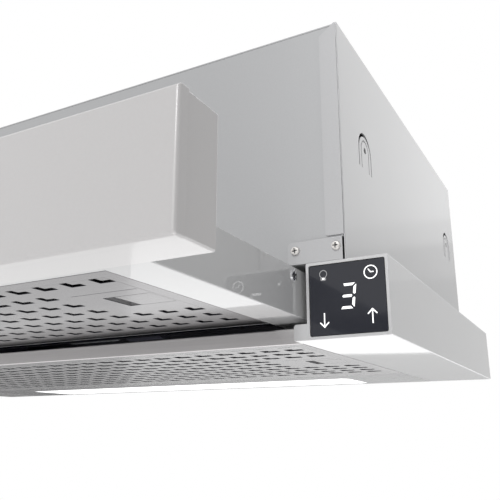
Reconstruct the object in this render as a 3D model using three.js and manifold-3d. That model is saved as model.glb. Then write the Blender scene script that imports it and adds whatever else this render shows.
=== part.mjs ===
// A pull-out cooker hood, 60 cm wide, drawn with its steam collector pulled out.
// Millimetres. X runs along the width, Y towards the wall and Z up. The hood itself is
// built from its own zero: the middle of the width, the front of the fixed base and the
// underside. The last lines move it so that it stands centred on the origin.
import * as THREE from 'three';
import { mergeGeometries, mergeVertices } from 'three/addons/utils/BufferGeometryUtils.js';
import Module from 'manifold-3d';

const wasm = await Module();
wasm.setup();

// ---- driving dimensions ----
const gap = 0.3; // fitting gap between neighbouring pieces
const sheet = 1; // painted steel of the upper body
const overcut = 1; // how far a cutting tool runs past what it cuts
const overlap = 0.5; // how far joined shapes run into each other

const hoodWidth = 598;
const hoodDepth = 303;
const baseHeight = 40.8;
const upperInset = 21.7; // side of the upper body in from the side of the base
const upperHeight = 141.6; // above the base

const endBoxWidth = 44.6; // fixed end of the base, left and right of the drawer
const endBoxWall = 1.6;
const endBoxEdge = 1; // chamfer along its long edges
const footWidth = 7.5; // ledge beside the filter
const footHeight = 8.7;
const footEdge = 1.2;

const frontFlange = 10.9; // strip that the side panels fold over the front
const flangeLift = 14.1; // its lower end above the base
const flangeCorner = 1;
const flangeEdge = 0.5;
const flangeChamfer = [9.2, 6.6];
const tongueInsets = { front: 41.8, rear: 34 }; // middles of the tongues
const tongueLift = 64.2; // foot of the tongues above the base
const tongue = { width: 23.3, height: 24, slot: 1, slotTop: 2, hole: 3.6, holeHeight: 13 };
const tongueGroove = { width: 14.4, height: 19.6, stroke: 1, depth: 0.4 };

const bracketWidth = 31.4;
const bracketHeight = 12.7;
const bracketRound = 2;
const bracketSlit = 0.8; // dark line between the bracket and the side panel
const screwHeight = 7.6; // above the base's top
const screwPlaces = [4.7, 28]; // from the bracket's inner edge
const screw = { head: 2.5, headHeight: 1.6, crown: 0.9, crownRadius: 1.5, shank: 1.5, length: 5 };

const glassThickness = 3;
const glassRound = 1.2;
const boardThickness = 1.6;
const display = { width: 24, height: 18, depth: 2.4 };

const lipSetBack = 11; // front cross rail of the base
const lipThickness = 1.5;
const lipDepth = 16;
const railPlate = 1.2; // sheet of the rails
const rearRailDepth = 97;
const rearRailUpstand = 9;
const lamp = { width: 380, depth: 62, rearMargin: 6, round: 8, flange: 4, flangeThickness: 1.5 };
const lampBoard = { inset: 12, depth: 20 };

const panelThickness = 20;
const panelSkin = 4.5;
const panelBottom = 0.3;
const panelTop = 41.8;
const panelRound = 0.8;
const trayWall = 1.2;
const trayInset = 0.4; // the tray's edge stands in from the plate's
const trayRound = 0.5;
const drawerOut = 162.5; // back of the front panel to the front of the base
const drawerSideGap = 3; // drawer to end box
const drawerBottom = 12;
const drawerTop = 37.5;
const drawerSheet = 1;
const drawerEdge = 0.5;
const drawerTopFlange = 10.4;
const drawerBottomFlange = 22.4;
const armReach = 117; // the drawer's arms, inside the base
const coverReach = 9;
const coverHem = 4;
const rearWebHeight = 12;
const tieRail = { depth: 5, height: 6.2 };

const channelWindow = { bottom: 13, top: 36, front: 12, rear: 6 };
const channelDepth = 8.4; // from the end box's inner wall outwards
const channelWall = 1.2;
const runner = { clearance: 0.5, round: 1, groove: 6, bed: 2 };
const stopScrew = { y: -3, z: 33, radius: 1.8, height: 1, edge: 0.5, crownRadius: 1.1 };

const filterSheet = 0.8;
const filterHeight = 7.2;
const filterRim = 7.5;
const filterRecess = 1.2;
const filterPin = { inset: 4, height: 1.6, radius: 0.9, clearance: 0.15, reach: 0.9 };
const baseFilterPlay = 0.4; // each side of the filter, in its frame
const drawerFilterPlay = 0.6;
const meshPitch = 12;
const meshThickness = 0.6;
const meshRoom = 2; // round the latch
const slotStroke = 2.1; // width of both arms of a slot
const slitWidth = 0.7;
const latchClear = { line: 16, plate: 20, along: 2 }; // plain metal kept round the latch
const latchPlate = { step: 0.6, round: 0.8, stemInset: 4, boltRoot: 5 };
const latchBolt = { width: 12, thickness: 1.2 };

const wheel = { radius: 45, bladeDepth: 8, halfWidth: 38, plate: 2, hub: 9, hubLength: 6 };
const blade = { count: 20, thickness: 0.8, root: 0.5, tip: 0.6, bend: 3, sweep: 9 };
const wheelFromBack = 138;
const wheelLift = 63.2; // above the base
const scroll = { start: 3, end: 21, side: 4, wall: 2, cheek: 1.2, inlet: 7, flange: 1.5 };
const scrollTongue = 120; // degrees from the rear
const scrollSteps = 28;
const motor = { radius: 27, room: 10, shoulder: 8, taper: 6, cap: 10, capTaper: 4, bore: 10 };
const shaftRadius = 4;
const spider = { plate: 2, seat: 8, arm: 10, arms: 3 };

const collar = { radius: 60, wall: 1.5, height: 35, flange: 10, plate: 1.6, ledge: 3.5 };
const collarEdge = { drop: 1, inset: 0.5 };
const flap = { thickness: 1.2, clearance: 1.5, armRoot: 3 };
const flapPin = { radius: 1.5, lift: 5, running: 0.3 };
const knuckle = { radius: 2.8, clearance: 0.6, length: 16, places: [4, -24], facets: 12 };
const gland = { fromSide: 97.3, fromBack: 33, bore: 4, tip: 7, thread: 8, nut: 12, nutHeight: 4, rise: 14, drop: 6 };
const electronics = { fromSide: 77.3, width: 80, depth: 32, lift: 21.2, height: 84, round: 4 };
const electronicsLid = { depth: 6, height: 14 };
const capacitor = { fromBox: 25, radius: 15, length: 50, lift: 31.2, edge: 2, cap: 4, capInset: 6 };
const drawerSwitch = { x: 110, width: 20, depth: 13, bottom: 22, height: 9, plunger: 8, plungerRadius: 2 };

// How many flats stand for a full turn of each round form, and for a quarter turn of a corner.
const facets = { screw: 10, bore: 12, gland: 14, pin: 16, motor: 24, large: 32 };
const cornerFacets = { plain: 2, lens: 3, arch: 8 };
const fullTurn = 360;

// ---- sizes that follow from them ----
const half = hoodWidth / 2;
const upperHalf = half - upperInset;
const upperTop = baseHeight + upperHeight;
const endInner = half - endBoxWidth;
const footInner = endInner - footWidth;
const panelBack = -drawerOut;
const panelFront = panelBack - panelThickness;
const drawerHalf = endInner - drawerSideGap;
const drawerInner = drawerHalf - drawerBottomFlange;
const lipBack = lipSetBack + lipThickness;
const rearRailFront = hoodDepth - rearRailDepth;
const tongueFoot = baseHeight + tongueLift;
const tongueCentres = [tongueInsets.front, hoodDepth - tongueInsets.rear];
const wheelInner = wheel.radius - wheel.bladeDepth;
const wheelCentre = { y: hoodDepth - wheelFromBack, z: baseHeight + wheelLift };
const scrollStart = wheel.radius + scroll.start;
const scrollEnd = wheel.radius + scroll.end;
const scrollHalfWidth = wheel.halfWidth + scroll.side;
const inletRadius = wheel.radius - scroll.inlet;
const motorStart = -wheel.halfWidth + motor.room;
const collarFlange = collar.radius + collar.flange;
const collarInner = collar.radius - collar.wall;
const flapAxis = upperTop + collar.plate + flapPin.lift;
const electronicsX = electronics.fromSide - upperHalf;
const sides = [['right', 1], ['left', -1]];

// ---- making and cutting solids ----
function toSolid(geometry) {
  const bare = geometry.index ? geometry.toNonIndexed() : geometry.clone();
  bare.deleteAttribute('normal');
  bare.deleteAttribute('uv');
  const merged = mergeVertices(bare, 1e-4);
  const triangles = [];
  for (let i = 0; i < merged.index.count; i += 3) {
    const [a, b, c] = [0, 1, 2].map((k) => merged.index.getX(i + k));
    if (a !== b && b !== c && c !== a) triangles.push(a, b, c);
  }
  const mesh = new wasm.Mesh({
    numProp: 3,
    vertProperties: new Float32Array(merged.attributes.position.array),
    triVerts: new Uint32Array(triangles),
  });
  return new wasm.Manifold(mesh);
}

function toGeometry(solid) {
  const mesh = solid.getMesh();
  const geometry = new THREE.BufferGeometry();
  geometry.setAttribute('position', new THREE.BufferAttribute(mesh.vertProperties, 3));
  geometry.setIndex(new THREE.BufferAttribute(mesh.triVerts, 1));
  return geometry;
}

function join(first, ...others) {
  let solid = toSolid(first);
  for (const other of others) solid = solid.add(toSolid(other));
  return toGeometry(solid);
}

function cut(first, ...tools) {
  let solid = toSolid(first);
  for (const tool of tools) solid = solid.subtract(toSolid(tool));
  return toGeometry(solid);
}

function block(xs, ys, zs) {
  const corners = [0, 1].map((k) => new THREE.Vector3(xs[k], ys[k], zs[k]));
  const box = new THREE.Box3().setFromPoints(corners);
  const size = box.getSize(new THREE.Vector3());
  const centre = box.getCenter(new THREE.Vector3());
  return new THREE.BoxGeometry(size.x, size.y, size.z).translate(centre.x, centre.y, centre.z);
}

// A block whose top face has other corners than its bottom face.
function taperedBlock(low, high, zs) {
  const shape = new THREE.BoxGeometry(2, 2, 2);
  const place = shape.attributes.position;
  for (let i = 0; i < place.count; i += 1) {
    const face = place.getZ(i) > 0 ? high : low;
    const x = place.getX(i) > 0 ? face.x : -face.x;
    const y = place.getY(i) > 0 ? face.ys[1] : face.ys[0];
    place.setXYZ(i, x, y, place.getZ(i) > 0 ? zs[1] : zs[0]);
  }
  return shape;
}

function outline(points) {
  return new THREE.Shape(points.map(([u, v]) => new THREE.Vector2(u, v)));
}

function rectangle(x0, x1, y0, y1) {
  return outline([[x0, y0], [x1, y0], [x1, y1], [x0, y1]]);
}

function roundedRectangle(us, vs, radius) {
  const [u0, u1] = [Math.min(...us), Math.max(...us)];
  const [v0, v1] = vs;
  const shape = new THREE.Shape();
  shape.moveTo(u0 + radius, v0);
  shape.lineTo(u1 - radius, v0);
  shape.absarc(u1 - radius, v0 + radius, radius, -Math.PI / 2, 0);
  shape.lineTo(u1, v1 - radius);
  shape.absarc(u1 - radius, v1 - radius, radius, 0, Math.PI / 2);
  shape.lineTo(u0 + radius, v1);
  shape.absarc(u0 + radius, v1 - radius, radius, Math.PI / 2, Math.PI);
  shape.lineTo(u0, v0 + radius);
  shape.absarc(u0 + radius, v0 + radius, radius, Math.PI, Math.PI * 1.5);
  return shape;
}

function roundHole(u, v, radius, corners = facets.bore) {
  const points = [];
  for (let i = 0; i < corners; i += 1) {
    const angle = (2 * Math.PI * i) / corners;
    points.push(new THREE.Vector2(u + radius * Math.cos(angle), v + radius * Math.sin(angle)));
  }
  return new THREE.Path(points);
}

// Outlines are drawn in (Y, Z) for a run along X, in (X, Z) for Y and in (X, Y) for Z.
const turns = {
  x: new THREE.Matrix4().set(0, 0, 1, 0, 1, 0, 0, 0, 0, 1, 0, 0, 0, 0, 0, 1),
  y: new THREE.Matrix4().set(1, 0, 0, 0, 0, 0, -1, 0, 0, 1, 0, 0, 0, 0, 0, 1),
  z: new THREE.Matrix4(),
};

function run(axis, shape, from, to, curveSegments = cornerFacets.plain) {
  const depth = to - from;
  const solid = new THREE.ExtrudeGeometry(shape, { depth, bevelEnabled: false, curveSegments });
  solid.applyMatrix4(turns[axis]);
  const start = { x: [from, 0, 0], y: [0, to, 0], z: [0, 0, from] }[axis];
  return solid.translate(...start);
}

// Profile points are [radius, height along the axis], going round the section clockwise
// when the axis points up.
function revolve(axis, profile, centre, segments = facets.large) {
  const points = profile.map(([r, h]) => new THREE.Vector2(r, h));
  const solid = new THREE.LatheGeometry(points, segments);
  if (axis === 'x') solid.rotateZ(-Math.PI / 2);
  if (axis === 'z') solid.rotateX(Math.PI / 2);
  return toGeometry(toSolid(solid.translate(...centre)));
}

function rod(axis, radius, from, to, centre, segments = facets.motor) {
  const profile = [[0, from], [radius, from], [radius, to], [0, to]];
  return revolve(axis, profile, centre, segments);
}

// A strip of even thickness that follows a line of points.
function ribbon(points, thickness) {
  const left = [];
  const right = [];
  points.forEach(([u, v], i) => {
    const before = points[Math.max(i - 1, 0)];
    const after = points[Math.min(i + 1, points.length - 1)];
    const direction = new THREE.Vector2(after[0] - before[0], after[1] - before[1]).normalize();
    const off = [-direction.y * thickness / 2, direction.x * thickness / 2];
    left.push([u + off[0], v + off[1]]);
    right.unshift([u - off[0], v - off[1]]);
  });
  return outline([...left, ...right]);
}

// ---- finishes ----
function finish(color, roughness, metalness) {
  return () => new THREE.MeshStandardMaterial({ color, roughness, metalness });
}

const bodyPaint = finish(0xc2c3c5, 0.45, 0.35);
const frontPaint = finish(0xcccbcb, 0.35, 0.3);
const brushedSteel = finish(0xb4b3b5, 0.35, 0.9);
const brightSteel = finish(0xc8cacc, 0.12, 1);
const filterSteel = finish(0xaaa9ab, 0.4, 0.9);
const darkGlass = finish(0x35363b, 0.1, 0);
const lampWhite = finish(0xf2f2f2, 0.5, 0);
const zincSteel = finish(0x9c9fa2, 0.5, 0.8);
const nylon = finish(0xe6e4dc, 0.6, 0);
const blackPlastic = finish(0x26272a, 0.55, 0);
const greyPlastic = finish(0x6e7276, 0.6, 0);
const circuitGreen = finish(0x2f6b4a, 0.6, 0);

const hood = new THREE.Group();

function add(name, geometry, material) {
  const mesh = new THREE.Mesh(geometry, material());
  mesh.name = name;
  hood.add(mesh);
}

// ---- upper body ----
// A band that runs up, round and down again like an arch, with its feet level.
function archBand(path, centre, { width, height }, [stroke, strokeTop]) {
  const outer = width / 2;
  const inner = outer - stroke;
  const spring = tongueFoot + height - outer;
  const innerSpring = tongueFoot + height - strokeTop - inner;
  path.moveTo(centre - outer, tongueFoot);
  path.absarc(centre, spring, outer, Math.PI, 0, true);
  path.lineTo(centre + outer, tongueFoot);
  path.lineTo(centre + inner, tongueFoot);
  path.absarc(centre, innerSpring, inner, 0, Math.PI, false);
  path.lineTo(centre - inner, tongueFoot);
  return path;
}

function makeUpperSide(side) {
  const panel = rectangle(0, hoodDepth, baseHeight, upperTop);
  const grooves = [];
  for (const centre of tongueCentres) {
    panel.holes.push(archBand(new THREE.Path(), centre, tongue, [tongue.slot, tongue.slotTop]));
    panel.holes.push(roundHole(centre, tongueFoot + tongue.holeHeight, tongue.hole / 2));
    const { stroke } = tongueGroove;
    grooves.push(archBand(new THREE.Shape(), centre, tongueGroove, [stroke, stroke]));
  }
  const faces = [side * (upperHalf - sheet), side * upperHalf].sort((a, b) => a - b);
  const wall = run('x', panel, ...faces, cornerFacets.arch);
  const bed = side * (upperHalf - tongueGroove.depth);
  const above = side * (upperHalf + overcut);
  const span = [bed, above].sort((a, b) => a - b);
  const tools = grooves.map((groove) => run('x', groove, ...span, cornerFacets.arch));
  const inner = upperHalf - frontFlange;
  const low = baseHeight + flangeLift;
  const strip = outline([
    [side * inner, low + flangeCorner],
    [side * (inner + flangeCorner), low],
    [side * upperHalf, low],
    [side * upperHalf, upperTop - flangeEdge],
    [side * (upperHalf - flangeEdge), upperTop],
    [side * (inner + flangeChamfer[0]), upperTop],
    [side * inner, upperTop - flangeChamfer[1]],
  ]);
  return join(cut(wall, ...tools), run('y', strip, 0, sheet));
}

function makeUpperFront() {
  const wide = upperHalf - sheet - gap;
  const panel = rectangle(-wide, wide, baseHeight, upperTop - sheet);
  for (const [x, z] of screwSpots()) panel.holes.push(roundHole(x, z, screw.shank + gap));
  return run('y', panel, sheet, 2 * sheet);
}

function makeUpperTop() {
  const wide = upperHalf - sheet - gap;
  const panel = rectangle(-wide, wide, sheet, hoodDepth);
  panel.holes.push(roundHole(0, collarY(), collarInner - collar.ledge, facets.large));
  panel.holes.push(roundHole(...glandPlace(), gland.thread + gap, facets.pin));
  return run('z', panel, upperTop - sheet, upperTop);
}

// ---- corner brackets and their screws ----
function bracketInner() {
  return upperHalf - sheet - bracketSlit - bracketWidth;
}

function screwSpots() {
  const z = baseHeight + screwHeight;
  const spots = [];
  for (const [, side] of sides) {
    for (const place of screwPlaces) spots.push([side * (bracketInner() + place), z]);
  }
  return spots;
}

function makeBracket(side) {
  const xs = [side * bracketInner(), side * (bracketInner() + bracketWidth)];
  const plate = roundedRectangle(xs, [baseHeight, baseHeight + bracketHeight], bracketRound);
  for (const [x, z] of screwSpots().filter(([spot]) => spot * side > 0)) {
    plate.holes.push(roundHole(x, z, screw.shank + gap));
  }
  return run('y', plate, 0, sheet);
}

function makeScrew([x, z]) {
  const profile = [
    [0, -screw.headHeight],
    [screw.crownRadius, -screw.headHeight],
    [screw.head, -screw.headHeight + screw.crown],
    [screw.head, 0],
    [screw.shank, 0],
    [screw.shank, screw.length],
    [0, screw.length],
  ];
  return revolve('y', profile, [x, 0, z], facets.screw);
}

// ---- fixed base ----
function endBoxShape(side) {
  const points = [
    [footInner + footEdge, 0],
    [half - endBoxEdge, 0],
    [half, endBoxEdge],
    [half, baseHeight - endBoxEdge],
    [half - endBoxEdge, baseHeight],
    [endInner, baseHeight],
    [endInner, footHeight],
    [footInner + footEdge, footHeight],
    [footInner, footHeight - footEdge],
    [footInner, footEdge],
  ];
  return outline(points.map(([x, z]) => [side * x, z]));
}

function makeEndBox(side) {
  const xs = [side * (endInner + endBoxWall), side * (half - endBoxWall)];
  const zs = [endBoxWall, baseHeight - endBoxWall];
  const cavity = block(xs, [-overcut, hoodDepth - endBoxWall], zs);
  const window = block(
    [side * (endInner - overcut), side * (endInner + endBoxWall + overcut)],
    [channelWindow.front, hoodDepth - channelWindow.rear],
    [channelWindow.bottom, channelWindow.top],
  );
  return cut(run('y', endBoxShape(side), 0, hoodDepth), cavity, window);
}

function endBoxFiller(side, front, back, radius) {
  const reach = endBoxWall + gap;
  const xs = [side * (endInner + reach), side * (half - reach)];
  return run('y', roundedRectangle(xs, [reach, baseHeight - reach], radius), front, back);
}

function makeControlBoard() {
  const front = gap + glassThickness + gap + display.depth;
  const middle = (endInner + half) / 2;
  const xs = [middle - display.width / 2, middle + display.width / 2];
  const zs = [(baseHeight - display.height) / 2, (baseHeight + display.height) / 2];
  const module = block(xs, [front - display.depth, front + overlap], zs);
  return join(endBoxFiller(1, front, front + boardThickness, glassRound), module);
}

function makeFrontLip() {
  const top = footHeight;
  const profile = outline([
    [lipSetBack, 0],
    [lipBack, 0],
    [lipBack, top - railPlate],
    [lipSetBack + lipDepth, top - railPlate],
    [lipSetBack + lipDepth, top],
    [lipSetBack, top],
  ]);
  const ends = footInner - gap;
  const pin = filterPinCentre(baseFilter);
  const swing = Math.hypot(filterPin.inset, filterHeight - filterPin.height) + gap;
  const swingRoom = block(
    [-ends - overcut, pin.x + swing],
    [lipBack, lipSetBack + lipDepth + overcut],
    [top - railPlate - overcut, top + overcut],
  );
  const pinHole = filterPinHole(baseFilter, lipSetBack - overcut, lipBack + overcut);
  return cut(run('x', profile, -ends, ends), pinHole, swingRoom);
}

function lampSlot(margin) {
  const wide = lamp.width / 2 + margin;
  const front = hoodDepth - lamp.rearMargin - lamp.depth - margin;
  const back = hoodDepth - lamp.rearMargin + margin;
  return roundedRectangle([-wide, wide], [front, back], lamp.round + margin);
}

function makeRearRail() {
  const ends = footInner - gap;
  const floor = rectangle(-ends, ends, rearRailFront, hoodDepth);
  floor.holes.push(lampSlot(0));
  const upstand = block(
    [-ends, ends],
    [rearRailFront, rearRailFront + railPlate],
    [0, rearRailUpstand],
  );
  const wide = endInner - gap;
  const wall = outline([
    [-ends, 0],
    [ends, 0],
    [ends, footHeight + gap],
    [wide, footHeight + gap],
    [wide, baseHeight],
    [-wide, baseHeight],
    [-wide, footHeight + gap],
    [-ends, footHeight + gap],
  ]);
  const rail = join(
    run('z', floor, 0, railPlate, cornerFacets.lens),
    upstand,
    run('y', wall, hoodDepth - railPlate, hoodDepth),
  );
  return cut(rail, filterPinHole(baseFilter, rearRailFront - overcut, rearRailFront + railPlate));
}

function makeLampLens() {
  const seat = railPlate + gap;
  const lens = run('z', lampSlot(-gap), gap, seat + overlap, cornerFacets.lens);
  const flange = run('z', lampSlot(lamp.flange), seat, seat + lamp.flangeThickness, cornerFacets.lens);
  return join(lens, flange);
}

function makeLampBoard() {
  const bottom = railPlate + gap + lamp.flangeThickness + gap;
  const middle = hoodDepth - lamp.rearMargin - lamp.depth / 2;
  const wide = lamp.width / 2 - lampBoard.inset;
  return block(
    [-wide, wide],
    [middle - lampBoard.depth / 2, middle + lampBoard.depth / 2],
    [bottom, bottom + boardThickness],
  );
}

// ---- guides: a channel in each end box, a nylon runner on each drawer arm ----
function channelInside() {
  return {
    back: endInner + channelDepth - channelWall,
    bottom: channelWindow.bottom + gap + channelWall,
    top: channelWindow.top - gap - channelWall,
    front: channelWindow.front + gap + channelWall,
  };
}

function makeChannel(side) {
  const inside = channelInside();
  const outer = block(
    [side * (endInner + gap), side * (endInner + channelDepth)],
    [channelWindow.front + gap, hoodDepth - channelWindow.rear - gap],
    [channelWindow.bottom + gap, channelWindow.top - gap],
  );
  const cavity = block(
    [side * endInner, side * inside.back],
    [inside.front, hoodDepth],
    [inside.bottom, inside.top],
  );
  return cut(outer, cavity);
}

function makeRunner(side) {
  const inside = channelInside();
  const zs = [inside.bottom + runner.clearance, inside.top - runner.clearance];
  const xs = [side * drawerHalf, side * (inside.back - runner.clearance)];
  const front = inside.front + gap;
  const body = run('y', roundedRectangle(xs, zs, runner.round), front, armReach);
  const middle = (zs[0] + zs[1]) / 2;
  const groove = block(
    [side * (endInner + runner.bed), side * inside.back],
    [front - overcut, armReach + overcut],
    [middle - runner.groove / 2, middle + runner.groove / 2],
  );
  return cut(body, groove);
}

// ---- drawer ----
function makeFrontPlate() {
  const r = panelRound;
  const [y0, y1] = [panelFront, panelFront + panelSkin];
  const profile = outline([
    [y0 + r, panelBottom],
    [y1, panelBottom],
    [y1, panelTop],
    [y0 + r, panelTop],
    [y0, panelTop - r],
    [y0, panelBottom + r],
  ]);
  return run('x', profile, -half, half);
}

function makeFrontTray() {
  const front = panelFront + panelSkin;
  const [low, high] = [panelBottom + trayInset, panelTop - trayInset];
  const wide = half - trayInset;
  const shell = run('x', roundedRectangle([front, panelBack], [low, high], trayRound), -wide, wide);
  const cavity = block(
    [-wide + trayWall, wide - trayWall],
    [front - overcut, panelBack - trayWall],
    [low + trayWall, high - trayWall],
  );
  return cut(shell, cavity);
}

function makeDrawerSide(side) {
  const web = drawerHalf - drawerSheet;
  const profile = [
    [drawerInner, drawerBottom],
    [drawerHalf - drawerEdge, drawerBottom],
    [drawerHalf, drawerBottom + drawerEdge],
    [drawerHalf, drawerTop],
    [drawerHalf - drawerTopFlange, drawerTop],
    [drawerHalf - drawerTopFlange, drawerTop - drawerSheet],
    [web, drawerTop - drawerSheet],
    [web, drawerBottom + drawerSheet],
    [drawerInner, drawerBottom + drawerSheet],
  ];
  return run('y', outline(profile.map(([x, z]) => [side * x, z])), panelBack, armReach);
}

function makeDrawerFrontRail() {
  const back = drawerFilter.front - gap;
  const low = drawerBottom;
  const profile = outline([
    [panelBack, low],
    [back, low],
    [back, low + filterHeight],
    [back - railPlate, low + filterHeight],
    [back - railPlate, low + railPlate],
    [panelBack + railPlate, low + railPlate],
    [panelBack + railPlate, drawerTop - gap],
    [panelBack, drawerTop - gap],
  ]);
  const ends = drawerInner - gap;
  const pinHole = filterPinHole(drawerFilter, back - railPlate - overcut, back + overcut);
  return cut(run('x', profile, -ends, ends), pinHole);
}

function makeDrawerRearRail() {
  const ends = drawerInner - gap;
  const wide = drawerHalf - drawerSheet - gap;
  const seat = drawerBottom + drawerSheet + gap;
  const top = drawerBottom + rearWebHeight;
  const web = outline([
    [-ends, drawerBottom],
    [ends, drawerBottom],
    [ends, seat],
    [wide, seat],
    [wide, top],
    [-wide, top],
    [-wide, seat],
    [-ends, seat],
  ]);
  const front = drawerFilter.rear + gap;
  const rail = run('y', web, front, front + railPlate);
  return cut(rail, filterPinHole(drawerFilter, front - overcut, front + railPlate + overcut));
}

function makeTieRail() {
  const wide = drawerHalf - drawerSheet - gap;
  const top = drawerTop - drawerSheet - gap;
  const [y0, y1] = [armReach - tieRail.depth, armReach];
  const low = top - tieRail.height;
  const profile = outline([
    [y0, low],
    [y1, low],
    [y1, top],
    [y1 - railPlate, top],
    [y1 - railPlate, low + railPlate],
    [y0, low + railPlate],
  ]);
  return run('x', profile, -wide, wide);
}

function makeDrawerCover() {
  const top = drawerTop + drawerSheet;
  const plate = block([-drawerHalf, drawerHalf], [panelBack, coverReach], [drawerTop, top]);
  const hemX = drawerHalf - drawerTopFlange - gap;
  const hemYs = [coverReach - drawerSheet, coverReach];
  const hem = block([-hemX, hemX], hemYs, [drawerTop - coverHem, drawerTop + drawerSheet / 2]);
  return join(plate, hem);
}

function makeStopScrew(side) {
  const profile = [
    [0, 0],
    [stopScrew.radius, 0],
    [stopScrew.radius, stopScrew.edge],
    [stopScrew.crownRadius, stopScrew.height],
    [0, stopScrew.height],
  ];
  const head = revolve('x', profile, [0, 0, 0], facets.pin);
  if (side < 0) head.rotateZ(Math.PI);
  return head.translate(side * drawerHalf, stopScrew.y, stopScrew.z);
}

// ---- grease filters ----
// Each is a shallow tray with a bevelled rim and a field of angled slots, a pack of
// folded mesh, a sliding latch at its right end and two hinge pins at its left end.
const baseFilter = {
  halfWidth: footInner - baseFilterPlay,
  front: lipBack + gap,
  rear: rearRailFront - gap,
  bottom: 0,
  ledge: footHeight,
  keeper: footInner,
  slots: { margin: 10.5, start: 23.9, end: 8, pitchX: 15.4, pitchY: 16.3 },
  arms: [9.3, 6],
  latch: { inset: 8.5, width: 18.5, start: 77.7, depth: 20.5, pocket: 6, line: [45.9, 8] },
};

const drawerFilterMargin = { front: 36.2, rear: 2.5 }; // to the panel, and to the cover's end
const drawerFilter = {
  halfWidth: drawerInner - drawerFilterPlay,
  front: panelBack + drawerFilterMargin.front,
  rear: coverReach - drawerFilterMargin.rear,
  bottom: drawerBottom,
  ledge: drawerBottom + drawerSheet,
  keeper: drawerInner,
  slots: { margin: 8.5, start: 15.3, end: 8, pitchX: 15.35, pitchY: 16.65 },
  arms: [7.3, 7],
  latch: { inset: 8.8, width: 19.4, start: 38.7, depth: 19.3, pocket: 6.7, line: [45, 9.5] },
};

// Where the latch's plate, its finger pocket and the pressed line before it lie.
function latchPlace({ halfWidth, front, latch }) {
  const x1 = halfWidth - latch.inset;
  const x0 = x1 - latch.width;
  const y0 = front + latch.start;
  const y1 = y0 + latch.depth;
  const [lineReach, lineAhead] = latch.line;
  return { x0, x1, y0, y1, pocketX: x0 - latch.pocket, lineX: halfWidth - lineReach, lineY: y0 - lineAhead };
}

function filterPinCentre(filter) {
  return { x: -filter.halfWidth + filterPin.inset, z: filter.bottom + filterPin.height };
}

function filterPinHole(filter, from, to) {
  const { x, z } = filterPinCentre(filter);
  return rod('y', filterPin.radius + filterPin.clearance, from, to, [x, 0, z], facets.pin);
}

function nearLatch(filter, x, y) {
  const { x0, y0, y1, lineX, lineY } = latchPlace(filter);
  const [armX, armY] = filter.arms;
  const rightTip = x + armX;
  const besideLine = Math.abs(y - lineY) < armY && rightTip > lineX - latchClear.line;
  const level = y > y0 - latchClear.along && y - armY < y1 + latchClear.along;
  return besideLine || (level && rightTip > x0 - latchClear.plate);
}

// An angle with one arm to the front and one to the right of its corner.
function slotOutline(x, y, [armX, armY]) {
  const [inX, inY] = [x + slotStroke, y - slotStroke];
  return outline([[x, y], [x, y - armY], [inX, y - armY], [inX, inY], [x + armX, inY], [x + armX, y]]);
}

function filterHoles(filter) {
  const { slots, arms, halfWidth, front, rear } = filter;
  const latch = latchPlace(filter);
  const firstX = halfWidth - slots.margin - arms[0];
  const firstY = front + slots.start;
  const columns = Math.floor((firstX + halfWidth - slots.margin) / slots.pitchX) + 1;
  const rows = Math.floor((rear - slots.end - firstY) / slots.pitchY) + 1;
  const holes = [];
  for (let column = 0; column < columns; column += 1) {
    const x = firstX - column * slots.pitchX;
    for (let row = 0; row < rows; row += 1) {
      const y = firstY + row * slots.pitchY;
      if (!nearLatch(filter, x, y)) holes.push(slotOutline(x, y, arms));
    }
  }
  holes.push(rectangle(latch.pocketX, latch.x1 + gap, latch.y0 - gap, latch.y1 + gap));
  holes.push(rectangle(latch.lineX, latch.x1, latch.lineY, latch.lineY + slitWidth));
  return holes;
}

function filterField(filter) {
  const inset = filterRim - overlap;
  const wide = filter.halfWidth - inset;
  const level = filter.bottom + filterRecess;
  const plate = block(
    [-wide, wide],
    [filter.front + inset, filter.rear - inset],
    [level, level + filterSheet],
  );
  const [low, high] = [level - overcut, level + filterSheet + overcut];
  const punches = filterHoles(filter).map((hole) => run('z', hole, low, high));
  return cut(plate, mergeGeometries(punches));
}

// The bolt runs over the tray's own rim and the ledge beside it.
function boltLevel(filter) {
  return Math.max(filter.ledge, filter.bottom + filterRecess + filterSheet) + gap;
}

function makeFilterFace(filter) {
  const { bottom, front, rear, halfWidth: wide } = filter;
  const latch = latchPlace(filter);
  const outer = block([-wide, wide], [front, rear], [bottom, bottom + filterHeight]);
  const thin = filterSheet;
  const well = block(
    [-wide + thin, wide - thin],
    [front + thin, rear - thin],
    [bottom + filterRecess + thin, bottom + filterHeight + overcut],
  );
  const slope = filterRecess / (filterRim - thin);
  const below = overcut;
  const spread = below / slope;
  const recess = taperedBlock(
    { x: wide - thin + spread, ys: [front + thin - spread, rear - thin + spread] },
    { x: wide - filterRim, ys: [front + filterRim, rear - filterRim] },
    [bottom - below, bottom + filterRecess],
  );
  const through = block(
    [-wide + filterRim, wide - filterRim],
    [front + filterRim, rear - filterRim],
    [bottom - below, bottom + filterHeight + overcut],
  );
  const notch = block(
    [wide - thin - overcut, wide + overcut],
    [latch.y0 - gap, latch.y1 + gap],
    [boltLevel(filter) - gap, boltLevel(filter) + latchBolt.thickness + gap],
  );
  const rim = cut(outer, recess, through, well, notch);
  const { x, z } = filterPinCentre(filter);
  const reach = filterPin.reach + gap;
  const pins = [[front - reach, front + overlap], [rear - overlap, rear + reach]];
  const centre = [x, 0, z];
  const pinRods = pins.map(([from, to]) => rod('y', filterPin.radius, from, to, centre, facets.pin));
  return join(rim, filterField(filter), ...pinRods);
}

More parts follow.
